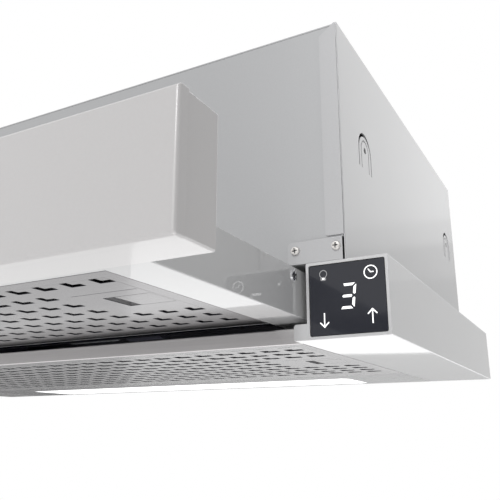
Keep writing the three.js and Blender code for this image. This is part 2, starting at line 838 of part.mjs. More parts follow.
function makeFilterMesh(filter) {
  const { bottom, front, rear, halfWidth } = filter;
  const latch = latchPlace(filter);
  const wall = filterSheet + gap;
  const low = bottom + filterRecess + filterSheet + gap + meshThickness;
  const high = bottom + filterHeight - meshThickness;
  const folds = Math.round((rear - front - 2 * wall) / meshPitch);
  const step = (rear - front - 2 * wall - meshThickness) / (2 * folds);
  const points = [];
  for (let i = 0; i <= 2 * folds; i += 1) {
    points.push([front + wall + meshThickness / 2 + i * step, i % 2 ? high : low]);
  }
  const wide = halfWidth - wall;
  const pack = run('x', ribbon(points, meshThickness), -wide, wide);
  const room = block(
    [latch.pocketX - meshRoom, halfWidth],
    [latch.y0 - meshRoom, latch.y1 + meshRoom],
    [bottom, bottom + filterHeight + overcut],
  );
  return cut(pack, room);
}

function makeLatch(filter) {
  const { x0, x1, y0, y1 } = latchPlace(filter);
  const low = filter.bottom + filterRecess - latchPlate.step;
  const bolt = boltLevel(filter);
  const boltTop = bolt + latchBolt.thickness;
  const middle = (y0 + y1) / 2;
  const boltYs = [middle - latchBolt.width / 2, middle + latchBolt.width / 2];
  const plateTop = filter.bottom + filterRecess + filterSheet;
  const plate = roundedRectangle([x0, x1], [y0, y1], latchPlate.round);
  const stemXs = [x0 + latchPlate.stemInset, x1 - latchPlate.stemInset];
  const stem = block(stemXs, boltYs, [plateTop - overlap, boltTop]);
  const tip = block([x1 - latchPlate.boltRoot, filter.keeper - gap], boltYs, [bolt, boltTop]);
  return join(run('z', plate, low, plateTop), stem, tip);
}

// ---- blower ----
function polar(degrees, radius) {
  const angle = THREE.MathUtils.degToRad(degrees);
  return [wheelCentre.y + radius * Math.cos(angle), wheelCentre.z + radius * Math.sin(angle)];
}

const wheelAxis = [0, wheelCentre.y, wheelCentre.z];
const mouthFront = wheelCentre.y - scrollEnd;
const mouthRear = polar(scrollTongue, scrollStart)[0];

function scrollLine() {
  const sweep = scrollTongue + fullTurn / 2;
  const points = [[mouthRear, upperTop - sheet]];
  for (let i = 0; i <= scrollSteps; i += 1) {
    const share = i / scrollSteps;
    const radius = scrollStart + (scrollEnd - scrollStart) * share;
    points.push(polar(scrollTongue - sweep * share, radius));
  }
  points.push([mouthFront, upperTop - sheet]);
  return points;
}

function collarY() {
  return (mouthRear + mouthFront) / 2;
}

// The wrap stops flush under the top sheet, so its ends are trimmed level.
function makeScrollWrap() {
  const line = scrollLine();
  const strips = [line.slice(0, 2), line.slice(1)].map((points) => {
    return run('x', ribbon(points, scroll.wall), -scrollHalfWidth, scrollHalfWidth);
  });
  const wide = scrollHalfWidth + overcut;
  const top = upperTop - sheet;
  const above = block([-wide, wide], [0, hoodDepth], [top, top + scroll.wall + overcut]);
  return cut(join(...strips), above);
}

// A flange round the scroll's mouth hangs the blower from the top sheet.
function makeScrollFlange() {
  const middle = collarY();
  const plate = rectangle(-collarFlange, collarFlange, middle - collarFlange, middle + collarFlange);
  const wide = scrollHalfWidth + scroll.cheek + gap;
  const reach = scroll.wall / 2 + gap;
  plate.holes.push(rectangle(-wide, wide, mouthFront - reach, mouthRear + reach));
  return run('z', plate, upperTop - sheet - scroll.flange, upperTop - sheet);
}

// The blower draws from one side: only the right cheek has an inlet.
function makeCheek(side) {
  const plate = outline(scrollLine());
  if (side > 0) plate.holes.push(roundHole(wheelCentre.y, wheelCentre.z, inletRadius, facets.large));
  const faces = [side * scrollHalfWidth, side * (scrollHalfWidth + scroll.cheek)];
  return run('x', plate, Math.min(...faces), Math.max(...faces));
}

function makeWheel() {
  const { radius, halfWidth, plate, hub, hubLength } = wheel;
  const bore = shaftRadius + gap;
  const back = revolve('x', [
    [bore, -halfWidth],
    [radius, -halfWidth],
    [radius, -halfWidth + plate],
    [hub, -halfWidth + plate],
    [hub, -halfWidth + plate + hubLength],
    [bore, -halfWidth + plate + hubLength],
    [bore, -halfWidth],
  ], wheelAxis);
  const ring = revolve('x', [
    [wheelInner, halfWidth - plate],
    [radius, halfWidth - plate],
    [radius, halfWidth],
    [wheelInner, halfWidth],
    [wheelInner, halfWidth - plate],
  ], wheelAxis);
  const blades = [];
  for (let i = 0; i < blade.count; i += 1) {
    const start = (i * fullTurn) / blade.count;
    const curve = [
      polar(start, wheelInner + blade.root),
      polar(start + blade.bend, (wheelInner + radius) / 2),
      polar(start + blade.sweep, radius - blade.tip),
    ];
    const reach = halfWidth - plate / 2;
    blades.push(run('x', ribbon(curve, blade.thickness), -reach, reach));
  }
  return join(back, ring, ...blades);
}

function makeMotor() {
  const end = scrollHalfWidth + scroll.cheek;
  const body = revolve('x', [
    [0, motorStart],
    [motor.radius - motor.taper, motorStart],
    [motor.radius, motorStart + motor.shoulder],
    [motor.radius, end - motor.cap],
    [motor.radius - motor.capTaper, end],
    [0, end],
  ], wheelAxis, facets.motor);
  return cut(body, rod('x', shaftRadius + gap, motorStart - overcut, motor.bore, wheelAxis));
}

function makeShaft() {
  return rod('x', shaftRadius, -wheel.halfWidth - wheel.plate, motor.bore - gap, wheelAxis);
}

// A disc on the motor's end with arms that reach over the inlet to the cheek.
function makeSpider() {
  const start = scrollHalfWidth + scroll.cheek;
  const end = start + spider.plate;
  const reach = inletRadius + spider.seat;
  const arms = [];
  for (let i = 0; i < spider.arms; i += 1) {
    const bar = run('x', rectangle(0, reach, -spider.arm / 2, spider.arm / 2), start, end);
    bar.rotateX(THREE.MathUtils.degToRad((i * fullTurn) / spider.arms + fullTurn / 4));
    arms.push(bar.translate(...wheelAxis));
  }
  return join(rod('x', motor.radius, start, end, wheelAxis, facets.large), ...arms);
}

// ---- duct collar with its two non-return flaps ----
function makeCollar() {
  const base = collar.plate;
  return revolve('z', [
    [collarInner - collar.ledge, 0],
    [collarFlange, 0],
    [collarFlange, base],
    [collar.radius, base],
    [collar.radius, collar.height - collarEdge.drop],
    [collar.radius - collarEdge.inset, collar.height],
    [collarInner, collar.height],
    [collarInner, base],
    [collarInner - collar.ledge, base],
    [collarInner - collar.ledge, 0],
  ], [0, collarY(), upperTop]);
}

function makeFlapPin() {
  const reach = collarInner - gap;
  return rod('x', flapPin.radius, -reach, reach, [0, collarY(), flapAxis], facets.pin);
}

// Side -1 is the front flap, 1 the rear one; their knuckles share the pin.
function makeFlap(side) {
  const radius = collarInner - flap.clearance;
  const middle = collarY();
  const clear = knuckle.radius + knuckle.clearance;
  const angle = Math.asin(clear / radius);
  const plate = new THREE.Shape();
  const start = side > 0 ? angle : Math.PI + angle;
  plate.absarc(0, middle, radius, start, start + Math.PI - 2 * angle);
  const level = upperTop + collar.plate + gap;
  const parts = [];
  const bores = [];
  for (const place of knuckle.places) {
    const ends = [side * place, side * (place + Math.sign(place) * knuckle.length)];
    const [x0, x1] = ends.sort((a, b) => a - b);
    const axis = [0, middle, flapAxis];
    const root = side * (flapPin.radius + flapPin.running + overlap / 2);
    parts.push(rod('x', knuckle.radius, x0, x1, axis, knuckle.facets));
    parts.push(block([x0, x1], [middle + root, middle + side * (clear + flap.armRoot)], [level, flapAxis]));
    const bore = flapPin.radius + flapPin.running;
    bores.push(rod('x', bore, x0 - overcut, x1 + overcut, axis, knuckle.facets));
  }
  return cut(join(run('z', plate, level, level + flap.thickness, cornerFacets.arch), ...parts), ...bores);
}

// ---- electrical pieces ----
function glandPlace() {
  return [gland.fromSide - upperHalf, hoodDepth - gland.fromBack];
}

function makeGland() {
  const under = upperTop - sheet - gap;
  const top = upperTop + gap;
  const profile = [
    [gland.bore, under - gland.drop],
    [gland.nut, under - gland.drop],
    [gland.nut, under],
    [gland.thread, under],
    [gland.thread, top],
    [gland.nut, top],
    [gland.nut, top + gland.nutHeight],
    [gland.thread, top + gland.nutHeight],
    [gland.tip, top + gland.rise],
    [gland.bore, top + gland.rise],
    [gland.bore, under - gland.drop],
  ];
  return revolve('z', profile, [...glandPlace(), 0], facets.gland);
}

function makeElectronicsBox() {
  const back = hoodDepth - sheet;
  const front = back - electronics.depth;
  const xs = [electronicsX, electronicsX + electronics.width];
  const low = baseHeight + electronics.lift;
  const zs = [low, low + electronics.height];
  const body = run('y', roundedRectangle(xs, zs, electronics.round), front, back);
  const lidStep = block(
    [xs[0] - overcut, xs[1] + overcut],
    [front - overcut, front + electronicsLid.depth],
    [zs[1] - electronicsLid.height, zs[1] + overcut],
  );
  return cut(body, lidStep);
}

function makeCapacitor() {
  const { radius, length, edge, cap, capInset } = capacitor;
  const x = electronicsX + electronics.width + capacitor.fromBox;
  const y = hoodDepth - sheet - gap - radius;
  return revolve('x', [
    [0, 0],
    [radius - edge, 0],
    [radius, edge],
    [radius, length],
    [radius - capInset, length],
    [radius - capInset, length + cap],
    [0, length + cap],
  ], [x, y, baseHeight + capacitor.lift], facets.pin);
}

function makeSwitch() {
  const { x, width, depth, bottom, height, plunger, plungerRadius } = drawerSwitch;
  const back = hoodDepth - railPlate;
  const front = back - depth;
  const middle = [x + width / 2, 0, bottom + height / 2];
  const body = block([x, x + width], [front, back], [bottom, bottom + height]);
  return join(body, rod('y', plungerRadius, front - plunger, front + overlap, middle, facets.bore));
}

// ---- the hood, piece by piece ----
for (const [word, side] of sides) {
  add(`body_side_${word}`, makeUpperSide(side), bodyPaint);
  add(`corner_bracket_${word}`, makeBracket(side), bodyPaint);
  add(`base_side_${word}`, makeEndBox(side), bodyPaint);
  add(`guide_channel_${word}`, makeChannel(side), zincSteel);
  add(`drawer_side_${word}`, makeDrawerSide(side), frontPaint);
  add(`drawer_runner_${word}`, makeRunner(side), nylon);
  add(`stop_screw_${word}`, makeStopScrew(side), zincSteel);
  add(`scroll_cheek_${word}`, makeCheek(side), zincSteel);
}
screwSpots().forEach((spot, i) => add(`bracket_screw_${i + 1}`, makeScrew(spot), brightSteel));

const sheetWide = upperHalf - sheet - gap;
const backSheetFaces = [hoodDepth - sheet, hoodDepth];
add('body_front_sheet', makeUpperFront(), bodyPaint);
add('body_top_sheet', makeUpperTop(), bodyPaint);
add(
  'body_back_sheet',
  block([-sheetWide, sheetWide], backSheetFaces, [baseHeight, upperTop - sheet]),
  zincSteel,
);

add('control_glass', endBoxFiller(1, gap, gap + glassThickness, glassRound), darkGlass);
add('control_board', makeControlBoard(), circuitGreen);
add('blank_plate', endBoxFiller(-1, gap, gap + glassThickness, glassRound), bodyPaint);
add('base_front_lip', makeFrontLip(), brushedSteel);
add('base_rear_rail', makeRearRail(), bodyPaint);
add('lamp_diffuser', makeLampLens(), lampWhite);
add('lamp_board', makeLampBoard(), circuitGreen);

add('front_plate', makeFrontPlate(), frontPaint);
add('front_tray', makeFrontTray(), frontPaint);
add('drawer_front_rail', makeDrawerFrontRail(), frontPaint);
add('drawer_rear_rail', makeDrawerRearRail(), zincSteel);
add('drawer_tie_rail', makeTieRail(), zincSteel);
add('drawer_cover', makeDrawerCover(), bodyPaint);

add('drawer_filter_face', makeFilterFace(drawerFilter), filterSteel);
add('drawer_filter_mesh', makeFilterMesh(drawerFilter), filterSteel);
add('drawer_filter_latch', makeLatch(drawerFilter), filterSteel);
add('base_filter_face', makeFilterFace(baseFilter), filterSteel);
add('base_filter_mesh', makeFilterMesh(baseFilter), filterSteel);
add('base_filter_latch', makeLatch(baseFilter), filterSteel);

add('scroll_wrap', makeScrollWrap(), zincSteel);
add('scroll_flange', makeScrollFlange(), zincSteel);
add('impeller', makeWheel(), blackPlastic);
add('motor', makeMotor(), greyPlastic);
add('motor_shaft', makeShaft(), brightSteel);
add('motor_spider', makeSpider(), zincSteel);
add('outlet_collar', makeCollar(), blackPlastic);
add('flap_pin', makeFlapPin(), zincSteel);
add('flap_front', makeFlap(-1), greyPlastic);
add('flap_rear', makeFlap(1), greyPlastic);
add('cable_gland', makeGland(), blackPlastic);
add('electronics_box', makeElectronicsBox(), greyPlastic);
add('capacitor', makeCapacitor(), greyPlastic);
add('drawer_switch', makeSwitch(), blackPlastic);

hood.position.y = -(panelFront + hoodDepth) / 2;

const part = new THREE.Group();
part.add(hood);
export default part;
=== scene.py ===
import math
import bmesh
import bpy
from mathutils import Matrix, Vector


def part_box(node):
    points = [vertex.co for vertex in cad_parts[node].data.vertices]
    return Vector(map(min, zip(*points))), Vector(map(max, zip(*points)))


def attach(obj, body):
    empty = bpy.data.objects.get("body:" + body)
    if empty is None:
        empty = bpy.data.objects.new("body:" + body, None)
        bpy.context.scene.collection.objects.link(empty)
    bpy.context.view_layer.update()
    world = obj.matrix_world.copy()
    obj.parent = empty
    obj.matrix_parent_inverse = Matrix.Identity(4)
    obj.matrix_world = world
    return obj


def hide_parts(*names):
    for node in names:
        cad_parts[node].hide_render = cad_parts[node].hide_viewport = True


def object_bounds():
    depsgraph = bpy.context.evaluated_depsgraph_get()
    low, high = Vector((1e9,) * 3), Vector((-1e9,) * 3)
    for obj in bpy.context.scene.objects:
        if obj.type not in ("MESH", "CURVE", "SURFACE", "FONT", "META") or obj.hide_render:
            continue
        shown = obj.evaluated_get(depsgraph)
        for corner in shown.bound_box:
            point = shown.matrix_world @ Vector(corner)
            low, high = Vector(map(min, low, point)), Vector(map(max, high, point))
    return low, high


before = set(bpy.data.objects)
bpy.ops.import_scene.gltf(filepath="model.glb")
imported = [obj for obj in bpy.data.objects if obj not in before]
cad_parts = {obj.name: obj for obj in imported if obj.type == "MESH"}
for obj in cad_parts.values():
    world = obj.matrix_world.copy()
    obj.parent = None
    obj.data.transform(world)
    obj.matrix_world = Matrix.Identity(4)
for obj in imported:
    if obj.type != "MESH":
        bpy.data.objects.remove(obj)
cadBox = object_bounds()
scene = bpy.context.scene
mm = 0.001
sides = (("Right", 1), ("Left", -1))

# The camera stands low at the right front corner and looks up at the hood.
view = {
    "place": (0.384532, -0.362893, -0.045792),
    "turn": (106.0258, 0.0341, 28.4021),
    "lens": 45.92,
    "sensor": 36.0,
    "near": 0.01,
}


def linked(name, data):
    thing = bpy.data.objects.new(name, data)
    scene.collection.objects.link(thing)
    return thing


def meshed(name, form):
    mesh = bpy.data.meshes.new(name)
    form.to_mesh(mesh)
    form.free()
    return linked(name, mesh)


def makeCamera():
    data = bpy.data.cameras.new("camera")
    data.lens = view["lens"]
    data.sensor_width = view["sensor"]
    data.clip_start = view["near"]
    camera = linked("camera", data)
    camera.location = view["place"]
    camera.rotation_euler = [math.radians(turn) for turn in view["turn"]]
    scene.camera = camera


makeCamera()
print("camera placed")


class Value:
    # A socket that sums can be written with; each sign adds one Math node.
    def __init__(self, sheet, socket):
        self.sheet = sheet
        self.socket = socket

    def math(self, operation, *others):
        return self.sheet.math(operation, self, *others)

    def __add__(self, other):
        return self.math("ADD", other)

    def __sub__(self, other):
        return self.math("SUBTRACT", other)

    def __rsub__(self, other):
        return self.sheet.math("SUBTRACT", other, self)

    def __mul__(self, other):
        return self.math("MULTIPLY", other)

    def __gt__(self, other):
        return self.math("GREATER_THAN", other)

    def __lt__(self, other):
        return self.math("LESS_THAN", other)

    __radd__ = __add__
    __rmul__ = __mul__


def setStops(ramp, stops):
    while len(ramp.elements) < len(stops):
        ramp.elements.new(1.0)
    while len(ramp.elements) > len(stops):
        ramp.elements.remove(ramp.elements[-1])
    for element, (position, tone) in zip(ramp.elements, stops):
        element.position = position
        element.color = (tone, tone, tone, 1.0)


class Sheet:
    # The node sheet of a material or of the world.
    def __init__(self, owner):
        owner.use_nodes = True
        self.owner = owner
        self.nodes = owner.node_tree.nodes
        self.links = owner.node_tree.links
        self.nodes.clear()

    def node(self, kind, settings, sockets, out=0):
        made = self.nodes.new(kind)
        for key, value in settings.items():
            if key == "stops":
                setStops(made.color_ramp, value)
            else:
                setattr(made, key, value)
        for key, value in sockets.items():
            if isinstance(value, Value):
                self.links.new(value.socket, made.inputs[key])
            else:
                made.inputs[key].default_value = value
        return Value(self, made.outputs[out]) if len(made.outputs) else None

    def math(self, operation, *terms):
        return self.node("ShaderNodeMath", {"operation": operation}, dict(enumerate(terms)))

    def vector(self, operation, first, second):
        other = "Scale" if operation == "SCALE" else 1
        return self.node("ShaderNodeVectorMath", {"operation": operation}, {0: first, other: second})

    def place(self, stretch=(1.0, 1.0, 1.0)):
        return self.vector("MULTIPLY", self.node("ShaderNodeTexCoord", {}, {}, "Object"), stretch)

    def part(self, spot, axis):
        return self.node("ShaderNodeSeparateXYZ", {}, {0: spot}, axis)

    def noise(self, spot, scale, detail=2.0, roughness=0.5, out=0):
        sockets = {"Vector": spot, "Scale": scale, "Detail": detail, "Roughness": roughness}
        return self.node("ShaderNodeTexNoise", {}, sockets, out)

    def cells(self, spot, scale, distance="EUCLIDEAN", randomness=1.0):
        sockets = {"Vector": spot, "Scale": scale, "Randomness": randomness}
        return self.node("ShaderNodeTexVoronoi", {"distance": distance}, sockets, "Color")

    def ramp(self, value, *stops):
        return self.node("ShaderNodeValToRGB", {"stops": stops}, {0: value})

    def mix(self, factor, first, second):
        colours = {0: factor, 6: tinted(first), 7: tinted(second)}
        return self.node("ShaderNodeMix", {"data_type": "RGBA"}, colours, 2)

    def varied(self, factor, colour, amount):
        return self.mix(factor, shade(colour, 1 - amount), shade(colour, 1 + amount))

    def bump(self, height, distance, strength=1.0):
        return self.node("ShaderNodeBump", {}, {"Strength": strength, "Distance": distance, "Height": height})

    def ray(self, kind):
        return self.node("ShaderNodeLightPath", {}, {}, f"Is {kind} Ray")

    def output(self, shader):
        self.node("ShaderNodeOutputMaterial", {}, {"Surface": shader})
        return self.owner

    def surface(self, sockets):
        return self.output(self.node("ShaderNodeBsdfPrincipled", {}, sockets))


def tinted(colour):
    return colour if isinstance(colour, Value) else (*colour, 1.0)


def shade(colour, factor):
    return tuple(min(channel * factor, 1.0) for channel in colour)


def newSheet(name):
    return Sheet(bpy.data.materials.new(name))


# Room: a pale floor far below, since the filters swing down, and a white surround.
white = (1.0, 1.0, 1.0)
room = {
    "floorHeight": -1.6,
    "floorRadius": 9.0,
    "floorSteps": 96,
    "floorColour": (0.86, 0.86, 0.86),
    "surround": (0.5, 0.5, 0.5),
    "lamps": {
        "lampFront": {"place": (0.55, -2.35, 1.9), "size": 1.6, "power": 27.0},
        "lampTop": {"place": (0.2, 0.9, 2.1), "size": 2.2, "power": 20.0},
        "lampBelow": {"place": (0.3, -0.7, -1.45), "size": 1.8, "power": 12.0},
    },
}
# Curved cards round the camera's place that only reflections see. Turns are counted from the rear to
# the right and heights from the level, in degrees; tones holds (turn, tone) from left to right.
cards = {
    "lowCard": {
        "turns": (-110, 70), "heights": (-5.6, -0.2),
        "tones": ((-60, 0.1), (-45, 0.15), (-37, 0.3), (-22, 0.45), (-10, 0.5)),
    },
    "brightCard": {"turns": (-39.3, 45), "heights": (-30, -5.65), "tones": ((0, 1.4),)},
    "midCard": {"turns": (-12, 24), "heights": (-0.1, 13), "tones": ((-12, 0.74), (24, 0.66))},
    "bandCard": {"turns": (-12, 24), "heights": (13, 16), "tones": ((-12, 0.84), (24, 0.76))},
    "sideCard": {"turns": (24, 150), "heights": (0, 45), "tones": ((24, 0.4), (90, 0.33))},
    "rearCard": {"turns": (-10, 24), "heights": (18, 50), "tones": ((0, 1.15),)},
}
cardForm = {"radius": 5.0, "steps": 24}


def makeFloor():
    form = bmesh.new()
    bmesh.ops.create_circle(form, cap_ends=True, segments=room["floorSteps"], radius=room["floorRadius"])
    floor = meshed("floor", form)
    floor.location.z = room["floorHeight"]
    sheet = newSheet("floorPaint")
    pale = sheet.node("ShaderNodeBsdfDiffuse", {}, {"Color": tinted(room["floorColour"])})
    bright = sheet.node("ShaderNodeEmission", {}, {"Color": tinted(white)})
    both = sheet.node("ShaderNodeMixShader", {}, {0: sheet.ray("Glossy"), 1: pale, 2: bright})
    floor.data.materials.append(sheet.output(both))


def makeCard(name, look):
    radius, steps = cardForm["radius"], cardForm["steps"]
    start, end = look["turns"]
    form = bmesh.new()
    rows = []
    for i in range(steps + 1):
        turn = math.radians(start + (end - start) * i / steps)
        x, y = radius * math.sin(turn), radius * math.cos(turn)
        rows.append([form.verts.new((x, y, radius * math.tan(math.radians(h)))) for h in look["heights"]])
    for first, second in zip(rows, rows[1:]):
        form.faces.new((first[0], second[0], second[1], first[1]))
    card = meshed(name, form)
    card.location = view["place"]
    sheet = newSheet(name)
    spot = sheet.place()
    # The turn of a point of the card, as a share of the full circle.
    share = sheet.part(spot, 0).math("ARCTAN2", sheet.part(spot, 1)) * (0.5 / math.pi) + 0.5
    brightest = max(tone for _, tone in look["tones"])
    stops = [(turn / 360 + 0.5, tone / brightest) for turn, tone in look["tones"]]
    glow = sheet.node("ShaderNodeEmission", {}, {"Color": sheet.ramp(share, *stops), "Strength": brightest})
    card.data.materials.append(sheet.output(glow))
    for kind in ("camera", "diffuse", "transmission", "shadow"):
        setattr(card, "visible_" + kind, False)


def makeSurround():
    scene.world = bpy.data.worlds.new("surround")
    sheet = Sheet(scene.world)
    camera, glossy, passing = (sheet.ray(kind) for kind in ("Camera", "Glossy", "Transmission"))
    seen = camera.math("MAXIMUM", glossy).math("MAXIMUM", passing)
    dim = sheet.node("ShaderNodeBackground", {}, {"Color": tinted(room["surround"])})
    bright = sheet.node("ShaderNodeBackground", {}, {"Color": tinted(white)})
    both = sheet.node("ShaderNodeMixShader", {}, {0: seen, 1: dim, 2: bright})
    sheet.node("ShaderNodeOutputWorld", {}, {"Surface": both})


def makeLamps():
    middle = (cadBox[0] + cadBox[1]) / 2
    for name, lamp in room["lamps"].items():
        data = bpy.data.lights.new(name, "AREA")
        data.shape = "DISK"
        data.size = lamp["size"]
        data.energy = lamp["power"]
        light = linked(name, data)
        light.location = lamp["place"]
        light.rotation_euler = (middle - light.location).to_track_quat("-Z", "Y").to_euler()


makeFloor()
for name, look in cards.items():
    makeCard(name, look)
makeSurround()
makeLamps()
scene.view_settings.view_transform = "Standard"
print("room: floor, surround and", len(room["lamps"]), "lamps")

# Satin metallic paints under a clear coat, all from the one of the body.
bodyPaintLook = {
    "colour": (0.492, 0.496, 0.505),
    "flake": 0.07,
    "metallic": 0.2,
    "roughness": 0.36,
    "grainScale": 1100.0,
    "peelScale": 420.0,
    "peelDepth": 0.00001,
    "coat": 1.0,
    "coatRoughness": 0.12,
}
# Painted shade: the faces of the top and the back that look into the hood are painted near black, as the
# shade in there, all but the outermost skin.
insideShadeTone = (0.014, 0.014, 0.019)
skin = 0.9 * mm
paintLooks = {
    "bodyPaint": bodyPaintLook,
    "topPaint": {**bodyPaintLook, "insideBelow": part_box("body_top_sheet")[1].z - skin},
    # sidePaint is the body paint made lighter: painted light on the side panels, which catch more of the
    # light from the right; the brackets take it too.
    "sidePaint": {**bodyPaintLook, "colour": (0.53, 0.531, 0.541)},
    "basePaint": {
        **bodyPaintLook,
        "colour": (0.66, 0.661, 0.668),
        "peelDepth": 0.000004,
        "coatRoughness": 0.03,
    },
    "railPaint": {**bodyPaintLook, "colour": (0.42, 0.421, 0.43), "coatRoughness": 0.03},
    "frontPaint": {
        **bodyPaintLook,
        "colour": (0.615, 0.602, 0.602),
        "flake": 0.035,
        "metallic": 0.1,
        "roughness": 0.3,
        "grainScale": 1300.0,
        "peelScale": 300.0,
        "peelDepth": 0.000008,
        "coatRoughness": 0.08,
    },
    "drawerPaint": {
        **bodyPaintLook,
        "colour": (0.56, 0.562, 0.566),
        "flake": 0.02,
        "metallic": 0.1,
        "roughness": 0.35,
        "peelDepth": 0.000001,
        "coatRoughness": 0.02,
    },
}
paintGrain = {"detail": 3.0, "sharpness": 0.7, "height": 0.25, "roughness": 0.04}
paintCloud = {"scale": 9.0, "share": 0.35, "tone": 0.94, "roughness": 0.05}


def makePaint(name):
    look = paintLooks[name]
    sheet = newSheet(name)
    spot = sheet.place()
    grain = sheet.noise(spot, look["grainScale"], paintGrain["detail"], paintGrain["sharpness"])
    cloud = sheet.noise(spot, paintCloud["scale"])
    peel = sheet.noise(spot, look["peelScale"], 1.0)
    fleck = sheet.varied(grain, look["colour"], look["flake"])
    tone = sheet.mix(cloud * paintCloud["share"], fleck, shade(look["colour"], paintCloud["tone"]))
    # Painted shade: below this level the paint turns near black, as the shade inside the hood.
    if "insideBelow" in look:
        tone = sheet.mix(sheet.part(spot, 2) < look["insideBelow"], tone, insideShadeTone)
    smooth = look["roughness"] - paintGrain["roughness"]
    return sheet.surface({
        "Base Color": tone,
        "Metallic": look["metallic"],
        "Roughness": smooth + paintCloud["roughness"] * cloud + paintGrain["roughness"] * grain,
        "Normal": sheet.bump(peel + paintGrain["height"] * grain, look["peelDepth"]),
        "Coat Weight": look["coat"],
        "Coat Roughness": look["coatRoughness"],
    })


# Brushed metals: fine and wide streaks along X, under a soft cloud.
steelLooks = {
    "brightSteel": {"colour": (0.76, 0.77, 0.785), "roughness": 0.07, "streak": 0.05, "depth": 0.0000006},
    "lipSteel": {"colour": (0.68, 0.665, 0.665), "roughness": 0.32, "streak": 0.12, "depth": 0.000003},
    "filterSteel": {"colour": (0.215, 0.209, 0.215), "roughness": 0.17, "streak": 0.1, "depth": 0.000002},
    "pocketSteel": {
        "colour": (0.36, 0.356, 0.362), "roughness": 0.4, "streak": 0.08, "depth": 0.000003, "metallic": 0.3,
    },
    "screwSteel": {
        "colour": (0.8, 0.775, 0.75), "roughness": 0.34, "streak": 0.04, "depth": 0.000001, "metallic": 0.35,
    },
    # darkSteel is painted shade for the deep faces of the screw crosses.
    "darkSteel": {
        "colour": (0.09, 0.09, 0.095), "roughness": 0.5, "streak": 0.1, "depth": 0.000001, "metallic": 0.2,
    },
}
streaks = {
    "stretch": (14.0, 2600.0, 2600.0), "wider": 6, "shares": (0.6, 0.4), "cloudScale": 14.0,
    "roughness": (0.8, 0.8, 0.25),
}


def makeSteel(name):
    look = steelLooks[name]
    sheet = newSheet(name)
    fine = sheet.noise(sheet.place(streaks["stretch"]), 1.0, 3.0, 0.6)
    wide = sheet.noise(sheet.place([value / streaks["wider"] for value in streaks["stretch"]]), 1.0)
    cloud = sheet.noise(sheet.place(), streaks["cloudScale"], 3.0)
    fineShare, wideShare = streaks["shares"]
    mask = fineShare * fine + wideShare * wide
    calm, streaky, cloudy = streaks["roughness"]
    rough = look["roughness"] * calm + look["streak"] * mask * streaky + cloud * look["roughness"] * cloudy
    return sheet.surface({
        "Base Color": sheet.varied(mask, look["colour"], look["streak"]),
        "Metallic": look.get("metallic", 1.0),
        "Roughness": rough,
        "Normal": sheet.bump(mask, look["depth"]),
    })


# Zinc coat with small soft crystals whose edges sway; on the back sheet, the face that looks into the hood
# gets painted shade.
zincLook = {
    "colour": (0.45, 0.46, 0.475), "spread": 0.08, "metallic": 0.8, "roughness": 0.36, "depth": 0.000004,
    "crystals": 150.0, "finer": 2.6, "shares": (0.65, 0.35), "sway": (90.0, 0.006), "drift": 60.0,
    "maskRoughness": 0.08, "driftRoughness": 0.06, "insideRoughness": 0.35,
}
zincLooks = {
    "zincCoat": zincLook,
    "zincBack": {**zincLook, "insideBefore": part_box("body_back_sheet")[1].y - skin},
}


def makeZinc(name):
    look = zincLooks[name]
    sheet = newSheet(name)
    spot = sheet.place()
    drift = sheet.noise(spot, look["drift"])
    scale, swing = look["sway"]
    bent = sheet.vector("ADD", spot, sheet.vector("SCALE", sheet.noise(spot, scale, out="Color"), swing))
    coarse = sheet.part(sheet.cells(bent, look["crystals"]), 0)
    fine = sheet.part(sheet.cells(bent, look["crystals"] * look["finer"]), 1)
    coarseShare, fineShare = look["shares"]
    mask = coarseShare * coarse + fineShare * fine
    tone = sheet.varied(mask, look["colour"], look["spread"])
    metal = look["metallic"]
    rough = look["roughness"] + look["maskRoughness"] * mask + look["driftRoughness"] * drift
    # Painted shade: the face that looks into the hood turns near black and matte.
    if "insideBefore" in look:
        inside = sheet.part(spot, 1) < look["insideBefore"]
        tone = sheet.mix(inside, tone, insideShadeTone)
        metal = metal - metal * inside
        rough = rough + look["insideRoughness"] * inside
    return sheet.surface({
        "Base Color": tone,
        "Metallic": metal,
        "Roughness": rough,
        "Normal": sheet.bump(mask, look["depth"]),
    })


plasticLooks = {
    # shadePaint is painted shade: a dark matte finish for faces that stand only in shade; the capacitor takes
    # it too.
    "shadePaint": {
        "colour": (0.034, 0.034, 0.046), "roughness": 0.8, "grain": 900.0, "depth": 0.00001, "gloss": 0.1,
    },
    "blackPlastic": {"colour": (0.022, 0.022, 0.024), "roughness": 0.5, "grain": 900.0, "depth": 0.00003},
    "greyPlastic": {"colour": (0.19, 0.2, 0.21), "roughness": 0.5, "grain": 800.0, "depth": 0.00003},
    "nylon": {"colour": (0.75, 0.73, 0.67), "roughness": 0.48, "grain": 300.0, "depth": 0.00002},
}
plasticCloud = {"scale": 25.0, "tones": (0.85, 1.2), "roughness": 0.12}


def makePlastic(name):
    look = plasticLooks[name]
    sheet = newSheet(name)
    spot = sheet.place()
    grain = sheet.noise(spot, look["grain"], roughness=0.6)
    cloud = sheet.noise(spot, plasticCloud["scale"], 3.0)
    dark, pale = [shade(look["colour"], tone) for tone in plasticCloud["tones"]]
    return sheet.surface({
        "Base Color": sheet.mix(cloud, dark, pale),
        "Roughness": look["roughness"] + plasticCloud["roughness"] * cloud,
        "Normal": sheet.bump(grain, look["depth"], 0.5),
        "Specular IOR Level": look.get("gloss", 0.5),
    })


glassLook = {
    "colour": (0.019, 0.0205, 0.029), "cloudScale": 30.0, "cloudTone": 1.25, "roughness": 0.06,
    "smearStretch": (1.0, 1.0, 3.0), "smearScale": 60.0, "smear": 0.05,
}


